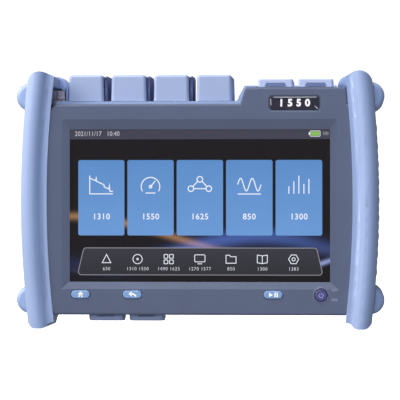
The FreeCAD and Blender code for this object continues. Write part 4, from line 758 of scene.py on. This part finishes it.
class TESTER_OT_key_marks(bpy.types.Operator):
    """Printed signs on the keys: a house, a back arrow, a play sign and a power sign"""

    bl_idname = "tester.key_marks"
    bl_label = "Key marks"

    def execute(self, context):
        colours = context.scene.tester_colours
        skin = moulded_skin()
        white = finish("white print", skin, colours.mark, 0.05, Roughness=0.4, Edge=0.0)
        lilac = finish("lilac print", skin, colours.lilac, 0.05, Roughness=0.35, Edge=0.0)
        signs = {
            "home": ([(0, 1.55), (-1.65, 0.1), (1.65, 0.1)],
                     [(-1.1, 0.1), (-1.1, -1.3), (-0.3, -1.3), (-0.3, -0.5)],
                     [(0.3, -0.5), (0.3, -1.3), (1.1, -1.3), (1.1, 0.1)],
                     [(-1.1, 0.15), (-1.1, -0.5), (1.1, -0.5), (1.1, 0.15)]),
            "back": ([(-1.9, 0.35), (-0.3, -1.0), (-0.3, 1.7)],),
            "run": ([(-2.2, 1.2), (-2.2, -1.2), (-0.1, 0)],
                    *[[(x, 1.2), (x, -1.2), (x + 0.7, -1.2), (x + 0.7, 1.2)]
                      for x in (0.6, 1.7)])}
        turn = np.linspace(0, math.pi / 2, 9)
        tail = np.stack([-0.4 + 2.2 * np.sin(turn), 0.35 - 1.5 * (1 - np.cos(turn))], -1)
        for key, shapes in signs.items():
            middle, front, back = key_face(f"{key}_key")
            parts = [slab(np.array(shape) * MARK_UNIT + middle, front, back)
                     for shape in shapes]
            if key == "back":
                parts.append(line(tail * MARK_UNIT + middle, TAIL_WIDE, front, back))
            mesh_piece(f"{key}_mark", parts, f"{key}_key", white)
        (x, z), front, back = key_face("power_key", POWER_FACE)
        strokes = (arc(x, z, POWER_RADIUS, 125, 415, 29), [(x, z + rise) for rise in POWER_STEM])
        mesh_piece("power_mark", [line(stroke, POWER_LINE, front, back) for stroke in strokes],
                   "power_key", lilac)
        return {"FINISHED"}


class TESTER_OT_plate_figures(bpy.types.Operator):
    """Plain white figures on the plate over the screen, and painted highlights along its edges"""

    bl_idname = "tester.plate_figures"
    bl_label = "Plate figures"

    def execute(self, context):
        low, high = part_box("label_plate")
        x, z = (low.x + high.x) / 2, (low.z + high.z) / 2
        white = bpy.data.materials["white print"]
        mesh_piece("plate_figures", [figures("1 5 5 0", x, z, 0.0041, low.y - 0.00001,
                                             bold=0.06)], "case", white)
        # Painted highlights: pale glossy strips along the plate's top edge, left edge and lower right
        # corner stand in for glints of light on its bevel.
        edge = finish("polished edge", moulded_skin(), (0.5, 0.52, 0.6), 0.02, coat=1.0,
                      Roughness=0.2, Edge=0.0)
        front, back = low.y - 0.00003, low.y + 0.00002
        strokes = (((low.x + 0.0022, high.z - 0.0005), (high.x - 0.0016, high.z - 0.0005)),
                   ((low.x + 0.0006, high.z - 0.0014), (low.x + 0.0009, low.z + 0.0028)),
                   ((high.x - 0.0027, low.z + 0.0023), (high.x - 0.0011, low.z + 0.0008)))
        mesh_piece("plate_painted_glints", [line(stroke, 0.00042, front, back) for stroke in strokes],
                   "case", edge)
        return {"FINISHED"}


class TESTER_OT_notch_shades(bpy.types.Operator):
    """Painted shade of a finger notch: a thin darker slab on the front of each small cover, wider at
    its foot
    """

    bl_idname = "tester.cover_grips"
    bl_label = "Painted notch shades"

    def execute(self, context):
        colours = context.scene.tester_colours
        # Painted shade: a thin darker slab on each cover's face stands in for the shade inside its
        # finger notch.
        dark = finish("grip rubber", moulded_skin(), colours.painted_notch_shade, 0.2, Roughness=0.6, Edge=0.0)
        lift, tall, proud, sunk = 0.0003, 0.0025, 0.00006, 0.00005
        for cover, hang in (("lan_cover", 1), ("usb_cover", 1), ("power_cover", -1),
                            ("card_cover", -1)):
            low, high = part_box(cover)
            x, foot = (low.x + high.x) / 2, (low.z if hang > 0 else high.z)
            wide, narrow = (0.0066, 0.0056) if hang > 0 else (0.0056, 0.0049)
            base, top = foot + hang * lift, foot + hang * tall
            edge = np.array([(x - wide, base), (x + wide, base), (x + narrow, top),
                             (x - narrow, top)])
            mesh_piece(f"{cover}_grip", [slab(edge, low.y - proud, low.y + sunk)], cover,
                       dark)
        return {"FINISHED"}


# ---------------------------------------------------------------- screen
# Depths of the picture's layers, front and back, before the glass.
WALLPAPER, BAR, FIELD, CELL, SIGN = ((0.00002, 0.00001), (0.00005, 0.00003), (0.00006, 0.00003),
                                     (0.00007, 0.00006), (0.00008, 0.00007))
BAR_FIGURES = 0.00006
BATTERY_PLACE = 0.009               # battery sign's middle, from the picture's right edge
SHIFT = 0.0002                      # layout's offset from the middle of the glass and bar


def screen_box(sizes):
    """Left, right, low and high edges of the lit picture, and the glass's front."""
    low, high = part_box("touch_glass")
    return (low.x + sizes.border, high.x - sizes.border, low.z + sizes.border,
            high.z - sizes.border, low.y)


def layer(glass, depths):
    return glass - depths[0], glass - depths[1]


def screen_piece(name, parts, material):
    return mesh_piece(name, parts, "case", material)


def plain_lit(name, tint, low, high):
    return lit(name, tint, tint, low, high)


class TESTER_OT_screen_picture(bpy.types.Operator):
    """Background picture, status bar, clock figures and battery sign"""

    bl_idname = "tester.screen_picture"
    bl_label = "Screen picture"

    def execute(self, context):
        sizes = context.scene.tester_screen
        left, right, low, high, glass = screen_box(sizes)
        bar_low = high - sizes.bar
        for name, foot, depths, material in (
                ("screen_wallpaper", low, WALLPAPER,
                 wallpaper("screen wallpaper", right - left, low, high)),
                ("status_bar", bar_low, BAR, lit("status grey", (0.056, 0.054, 0.082),
                                                 (0.052, 0.05, 0.075), bar_low, high))):
            edge = np.array([(left, foot), (right, foot), (right, high), (left, high)])
            screen_piece(name, [slab(edge, *layer(glass, depths))], material)
        white = plain_lit("picture white", (0.84, 0.87, 0.96), low, high)
        pale = plain_lit("clock white", (0.52, 0.54, 0.6), low, high)
        dim = plain_lit("figure grey", (0.3, 0.31, 0.35), low, high)
        green = lit("battery green", (0.2, 0.42, 0.08), (0.24, 0.5, 0.1), low, high)
        level, x = (bar_low + high) / 2 + SHIFT, right - BATTERY_PLACE
        front, back = layer(glass, CELL)

        def block(x_low, x_high, half, radius, count):
            return rounded(x + x_low, x + x_high, level - half, level + half, radius, count)

        cell = block(-0.0026, 0.0026, 0.00125, 0.0003, 3)
        rim = block(-0.0030, 0.0030, 0.00165, 0.0005, 4)
        tip = block(-0.0038, -0.0031, 0.0008, 0.0002, 3)
        screen_piece("clock_figures", [figures("2021/11/17   10:40", left + 0.003, level, 0.0028,
                                               glass - BAR_FIGURES, "LEFT", bold=0.0,
                                               narrow=0.88)], pale)
        screen_piece("battery_fill", [slab(cell, front, back)], green)
        screen_piece("battery_rim", [line(rim, 0.0003, front, back, True),
                                     slab(tip, front, back)], white)
        screen_piece("charge_figures", [figures("100", x + 0.0062, level, 0.0019,
                                                glass - BAR_FIGURES, narrow=0.9)], dim)
        return {"FINISHED"}


def placed(paths, x, z):
    """Sign lines (points in millimetres, closed) moved to their place."""
    return [(np.asarray(path, float) * MM + (x, z), closed) for path, closed in paths]


def ring(x, z, radius, end, count):
    return arc(x, z, radius, 0, end, count), True


def tile_signs():
    """Each tile's sign as lines about its middle: a trace, a dial, a net, a wave and bars."""
    wave = np.linspace(-7, 7, 41)
    return (
        [([(-7, 5.5), (-7, -5.5), (7, -5.5)], False),
         ([(-7, 4), (-3.4, 2.4), (-3.1, 4.4), (-2.8, 2.0), (1.6, 0), (1.8, -1.4), (4.6, -2.6),
           (4.9, 0.4), (5.2, -4), (7, -4)], False)],
        [(arc(0, -1.2, 5.6, -30, 210, 27), False), ([(0, -1.2), (2.9, 2.3)], False),
         ring(0, -1.2, 0.8, 342, 13), ([(-3, -5), (3, -5)], False)],
        [*[ring(x, z, 1.7, 345, 17) for x, z in ((-5.4, -2.4), (0, 3.2), (5.4, -2.4))],
         ([(-4.2, -1.1), (-1.3, 2.0)], False), ([(1.3, 2.0), (4.2, -1.1)], False),
         ([(-3.7, -2.4), (3.7, -2.4)], False)],
        [(np.stack([wave, 3.8 * np.sin(wave * math.pi / 3.5)], -1), False),
         ([(-7, -5.6), (7, -5.6)], False)],
        [([(x, -5.4), (x, top)], False)
         for x, top in ((-6, -1), (-3, 2), (0, 5.4), (3, 0.4), (6, 3.4))])


class TESTER_OT_screen_tiles(bpy.types.Operator):
    """Five tiles with a generic sign and a plain number each"""

    bl_idname = "tester.screen_tiles"
    bl_label = "Screen tiles"

    def execute(self, context):
        sizes = context.scene.tester_screen
        left, right, low, high, glass = screen_box(sizes)
        middle = (left + right) / 2 + SHIFT
        tile_low = low + sizes.tile_low
        tile_high = tile_low + sizes.tile_tall
        blue = lit("tile blue", (0.145, 0.318, 0.66), (0.105, 0.26, 0.575), tile_low, tile_high,
                   grain=0.1)
        tiles, signs = [], []
        front, back = layer(glass, SIGN)
        captions = ("1310", "1550", "1625", "850", "1300")
        for number, (paths, caption) in enumerate(zip(tile_signs(), captions)):
            x = middle + (number - 2) * sizes.tile_pitch
            edge = rounded(x - sizes.tile_wide / 2, x + sizes.tile_wide / 2, tile_low, tile_high,
                           sizes.tile_round)
            tiles.append(slab(edge, *layer(glass, FIELD)))
            for path, closed in placed(paths, x, low + sizes.icon_level):
                signs.append(line(path, sizes.line, front, back, closed))
            signs.append(figures(caption, x, low + sizes.number_level, 0.0034, front))
        screen_piece("screen_tiles", tiles, blue)
        screen_piece("tile_signs", signs, bpy.data.materials["picture white"])
        return {"FINISHED"}


def dock_signs():
    """Each dock sign as lines about its middle.

    They are a triangle, a ringed dot, four squares, a screen, a folder, a book and a hexagon.
    """
    near, far = (-2.8, -0.5), (0.5, 2.8)
    return (
        [([(-2.6, -2.2), (0, 2.8), (2.6, -2.2)], True)],
        [ring(0, 0, 2.8, 345, 24), ring(0, 0, 0.5, 330, 8)],
        [(rounded(*wide, *tall, 0.4, 3), True)
         for wide, tall in ((near, far), (far, far), (near, near), (far, near))],
        [(rounded(-3.1, 3.1, -1.6, 2.6, 0.5, 4), True), ([(-1.4, -2.8), (1.4, -2.8)], False)],
        [([(-3, -2.4), (-3, 2.4), (-1, 2.4), (-0.2, 1.5), (3, 1.5), (3, -2.4)], True)],
        [([(0, 2), (-3, 2.5), (-3, -2.1), (0, -2.6), (3, -2.1), (3, 2.5)], True),
         ([(0, 2), (0, -2.6)], False)],
        [ring(0, 0, 3.0, 300, 6), ring(0, 0, 1.0, 330, 12)])


class TESTER_OT_screen_dock(bpy.types.Operator):
    """Dock along the foot of the picture, with seven generic signs"""

    bl_idname = "tester.screen_dock"
    bl_label = "Screen dock"

    def execute(self, context):
        sizes = context.scene.tester_screen
        left, right, low, high, glass = screen_box(sizes)
        middle = (left + right) / 2 + SHIFT
        foot, head = low + sizes.dock_low, low + sizes.dock_low + sizes.dock_tall
        wide, narrow = sizes.dock_wide / 2, sizes.dock_wide / 2 - sizes.dock_slant
        lean = math.degrees(math.atan2(sizes.dock_slant, sizes.dock_tall))
        radius, sign_level, caption_level, caption_tall = 0.0019, 0.0137, 0.0078, 0.002
        rim_line, sign_line = 0.00042, 0.00044
        edge = np.concatenate([
            arc(middle + narrow - radius, head - radius, radius, lean, 90, 6),
            arc(middle - narrow + radius, head - radius, radius, 90, 180 - lean, 6),
            arc(middle - wide + radius, foot + radius, radius, 180 - lean, 270, 6),
            arc(middle + wide - radius, foot + radius, radius, 270, 360 + lean, 6)])
        shade = lit("dock shade", (0.027, 0.026, 0.033), (0.04, 0.04, 0.054), foot, head)
        rim = lit("dock rim", (0.28, 0.28, 0.32), (0.3, 0.3, 0.35), foot, head)
        front, back = layer(glass, SIGN)
        screen_piece("dock_field", [slab(edge, *layer(glass, FIELD))], shade)
        screen_piece("dock_rim", [line(edge, rim_line, front, back, True)], rim)
        captions = ("650", "1310 1550", "1490 1625", "1270 1577", "850", "1300", "1383")
        signs = []
        for number, (paths, caption) in enumerate(zip(dock_signs(), captions)):
            x = middle + (number - 3) * sizes.sign_pitch
            for path, closed in placed(paths, x, low + sign_level):
                signs.append(line(path, sign_line, front, back, closed))
            signs.append(figures(caption, x, low + caption_level, caption_tall, front,
                                 bold=-0.02))
        screen_piece("dock_signs", signs, bpy.data.materials["picture white"])
        return {"FINISHED"}


# ---------------------------------------------------------------- ports and sockets
class TESTER_OT_port_fittings(bpy.types.Operator):
    """Thread round each optical adapter and the ceramic sleeve in its bore"""

    bl_idname = "tester.port_fittings"
    bl_label = "Port fittings"

    def execute(self, context):
        """Thread: a ridge of triangular section carried up a helix, which fades at both ends."""
        colours = context.scene.tester_colours
        metal = bpy.data.materials["plated metal"]
        white = finish("ceramic", moulded_skin(), colours.ceramic, 0.02, coat=0.6,
                       Roughness=0.25, Edge=0.0)
        pitch, rise, lead, turn_points = 0.00075, 0.0078, 0.0006, 28
        turns = rise / pitch
        angle = np.linspace(0, 2 * math.pi * turns, int(turns * turn_points))
        part = angle / angle[-1]
        fade = np.clip(np.minimum(part, 1 - part) * 12, 0.02, 1)
        radius, root, crest = 0.004, -0.00008, 0.0003 * fade
        around = np.linspace(0, 2 * math.pi, 41)[:-1]
        # Radius of the sleeve and height over the adapter's end, from inside to outside.
        profile = ((0.00130, -0.004), (0.00130, 0.00012), (0.00192, 0.00012),
                   (0.00196, -0.0001))
        for number in range(1, 5):
            low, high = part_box(f"optical_adapter_{number}")
            x, y, top = (low.x + high.x) / 2, (low.y + high.y) / 2, high.z
            level = top - lead - rise * (1 - part)
            ridge = [np.stack([x + (radius + out) * np.cos(angle),
                               y + (radius + out) * np.sin(angle),
                               level + up * pitch * 0.9], -1)
                     for out, up in ((root, -0.5), (crest, 0.0), (root, 0.5))]
            mesh_piece(f"adapter_thread_{number}", [capped(np.stack(ridge, 1))], "case",
                       metal)
            sleeve = [np.stack([x + reach * np.cos(around), y + reach * np.sin(around),
                                np.full(len(around), top + up)], -1) for reach, up in profile]
            mesh_piece(f"ceramic_sleeve_{number}", [shell(np.stack(sleeve))], "case",
                       white)
        return {"FINISHED"}


class TESTER_OT_socket_contacts(bpy.types.Operator):
    """Sprung gold contacts in the network socket"""

    bl_idname = "tester.socket_contacts"
    bl_label = "Socket contacts"

    def execute(self, context):
        """Each contact is a bar of square section along a path that dips into the socket."""
        gold = finish("contact gold", drawn_metal(), context.scene.tester_colours.gold, 0.05,
                      metallic=1.0, Roughness=0.25, Stain=0.1)
        low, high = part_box("lan_jack")
        middle = (low.x + high.x) / 2
        count, pitch, half = 8, 0.00102, 0.0002
        inset, dip, lead, drop = 0.0046, 0.0026, 0.0015, 0.0085
        part = np.linspace(0, 1, 15)
        depth = high.y - inset - dip * np.sin(part * math.pi / 2)
        level = high.z - lead - drop * part
        parts = []
        for number in range(count):
            x = middle + (number - (count - 1) / 2) * pitch
            parts.append(capped(np.stack([
                np.stack([np.full(len(part), x + sx * half), depth + sy * half, level], -1)
                for sx, sy in ((-1, -1), (1, -1), (1, 1), (-1, 1))], 1)))
        mesh_piece("socket_contacts", parts, "case", gold)
        return {"FINISHED"}


# ---------------------------------------------------------------- stage
def add_backdrop(scene, floor):
    """Backdrop: a profile of floor, quarter circle and wall, turned about Z."""
    spokes, flat, curve, top = 96, 4.0, 1.5, 6.0
    turn = np.linspace(-math.pi / 2, 0, 17)
    reach = np.concatenate([[0.01], flat + curve * np.cos(turn), [flat + curve]])
    level = np.concatenate([[0.0], curve + curve * np.sin(turn), [top]])
    around = np.radians(np.arange(spokes) * 360 / spokes)[:, None]
    points = np.stack([reach * np.cos(around), reach * np.sin(around),
                       np.tile(level, (spokes, 1))], -1)
    index = np.arange(points[..., 0].size).reshape(spokes, -1)
    after = np.roll(index, -1, 0)
    faces = np.stack([index[:, :-1], index[:, 1:], after[:, 1:], after[:, :-1]],
                     -1).reshape(-1, 4).tolist()
    faces.append(index[::-1, 0].tolist())
    mesh = bpy.data.meshes.new("backdrop")
    mesh.from_pydata(points.reshape(-1, 3).tolist(), [], faces)
    mesh.polygons.foreach_set("use_smooth", np.ones(len(faces), bool))
    mesh.materials.append(new_material(
        "backdrop paper", Base_Color=(*floor, 1), Roughness=0.9, Specular_IOR_Level=0.1,
        Emission_Color=(1, 1, 1, 1), Emission_Strength=1.0)[0])
    backdrop = bpy.data.objects.new("backdrop", mesh)
    scene.collection.objects.link(backdrop)
    backdrop.visible_diffuse = backdrop.visible_glossy = False
    return backdrop


def aimed(scene, data, place, target):
    """Put a lamp or camera in its place, turned towards the target."""
    item = bpy.data.objects.new(data.name, data)
    item.location = place
    item.rotation_euler = (target - Vector(place)).to_track_quat("-Z", "Y").to_euler()
    scene.collection.objects.link(item)
    return item


def add_lamps(scene, target, backdrop):
    """Soft square lamps. One lights the case's front alone, and one all else but the front."""
    front_cover = frame["nodes"]["front_cover"]
    housing, fittings = [bpy.data.collections.new(name) for name in ("housing", "fittings")]
    housing.objects.link(front_cover)
    for piece in scene.objects:
        if piece.type == "MESH" and piece not in (backdrop, front_cover):
            fittings.objects.link(piece)
    warm, white, cool = (1.0, 0.93, 0.79), (1.0, 0.98, 0.97), (0.92, 0.96, 1.0)
    # Name, place, width, power, colour, whether it shines in gloss, and the pieces it lights.
    lamps = (("left_light", (-1.28, -0.78, 0.85), 0.8, 25.0, warm, True, fittings),
             ("back_light", (-1.3, 0.4, 0.5), 0.7, 5.0, (1.0, 0.99, 0.97), True, None),
             ("top_light", (-0.35, -0.35, 1.5), 0.8, 20.0, (0.97, 0.98, 1.0), True, None),
             ("case_light", (0.1, -1.3, 0.24), 0.4, 7.2, white, False, housing),
             ("front_light", (-0.1, -1.3, 0.1), 0.4, 8.5, cool, False, None))
    for name, place, width, power, tint, glossy, lit_pieces in lamps:
        light = bpy.data.lights.new(name, "AREA")
        light.shape = "SQUARE"
        light.size, light.energy, light.color = width, power, tint
        lamp = aimed(scene, light, place, target)
        lamp.visible_glossy = glossy
        if lit_pieces:
            lamp.light_linking.receiver_collection = lit_pieces


class TESTER_OT_stage(bpy.types.Operator):
    """Plain pale floor that runs up into a backdrop, soft lights and the camera"""

    bl_idname = "tester.stage"
    bl_label = "Stage"

    def execute(self, context):
        scene = context.scene
        stage = scene.tester_stage
        backdrop = add_backdrop(scene, stage.floor)
        world = bpy.data.worlds.new("studio")
        world.use_nodes = True
        scene.world = world
        sky = world.node_tree.nodes["Background"].inputs
        sky[0].default_value, sky[1].default_value = (0.88, 0.94, 1.0, 1), 0.22
        add_lamps(scene, Vector((0, 0, stage.level)), backdrop)
        camera = bpy.data.cameras.new("camera")
        camera.sensor_width = 36.0
        camera.clip_start = 0.01
        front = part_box("front_cover")[0].y
        eye = Vector((stage.sideways, front - stage.distance, stage.level))
        aim = Vector((stage.aim, front, stage.level))
        camera.lens = camera.sensor_width * (aim - eye).length / stage.width
        scene.camera = aimed(scene, camera, eye, aim)
        scene.view_settings.view_transform = "Standard"
        return {"FINISHED"}


# ---------------------------------------------------------------- panel and registration
OPERATORS = (TESTER_OT_finishes, TESTER_OT_bumper_grips, TESTER_OT_bumper_hoods,
             TESTER_OT_key_marks, TESTER_OT_plate_figures, TESTER_OT_notch_shades,
             TESTER_OT_lug_plates, TESTER_OT_port_dividers, TESTER_OT_screen_picture,
             TESTER_OT_screen_tiles, TESTER_OT_screen_dock, TESTER_OT_port_fittings,
             TESTER_OT_socket_contacts, TESTER_OT_stage)
SETTINGS = {"tester_colours": TesterColours, "tester_grips": BumperGrips,
            "tester_hoods": BumperHoods, "tester_screen": ScreenSizes,
            "tester_stage": StageSettings}


class TESTER_PT_panel(bpy.types.Panel):
    """Steps that dress the tester, with their sizes and colours"""

    bl_label = "Fibre Tester"
    bl_idname = "TESTER_PT_panel"
    bl_space_type = "VIEW_3D"
    bl_region_type = "UI"
    bl_category = "Fibre Tester"

    def draw(self, context):
        for step in OPERATORS:
            self.layout.operator(step.bl_idname)
        for name, kind in SETTINGS.items():
            box = self.layout.box()
            for label in kind.__annotations__:
                box.prop(getattr(context.scene, name), label)


def register():
    for kind in (*SETTINGS.values(), *OPERATORS, TESTER_PT_panel):
        bpy.utils.register_class(kind)
    for name, kind in SETTINGS.items():
        setattr(bpy.types.Scene, name, PointerProperty(type=kind))


def unregister():
    for name in SETTINGS:
        delattr(bpy.types.Scene, name)
    for kind in reversed((*SETTINGS.values(), *OPERATORS, TESTER_PT_panel)):
        bpy.utils.unregister_class(kind)


def main():
    register()
    for step in OPERATORS:
        group, action = step.bl_idname.split(".")
        getattr(getattr(bpy.ops, group), action)()


if __name__ == "__main__":
    main()
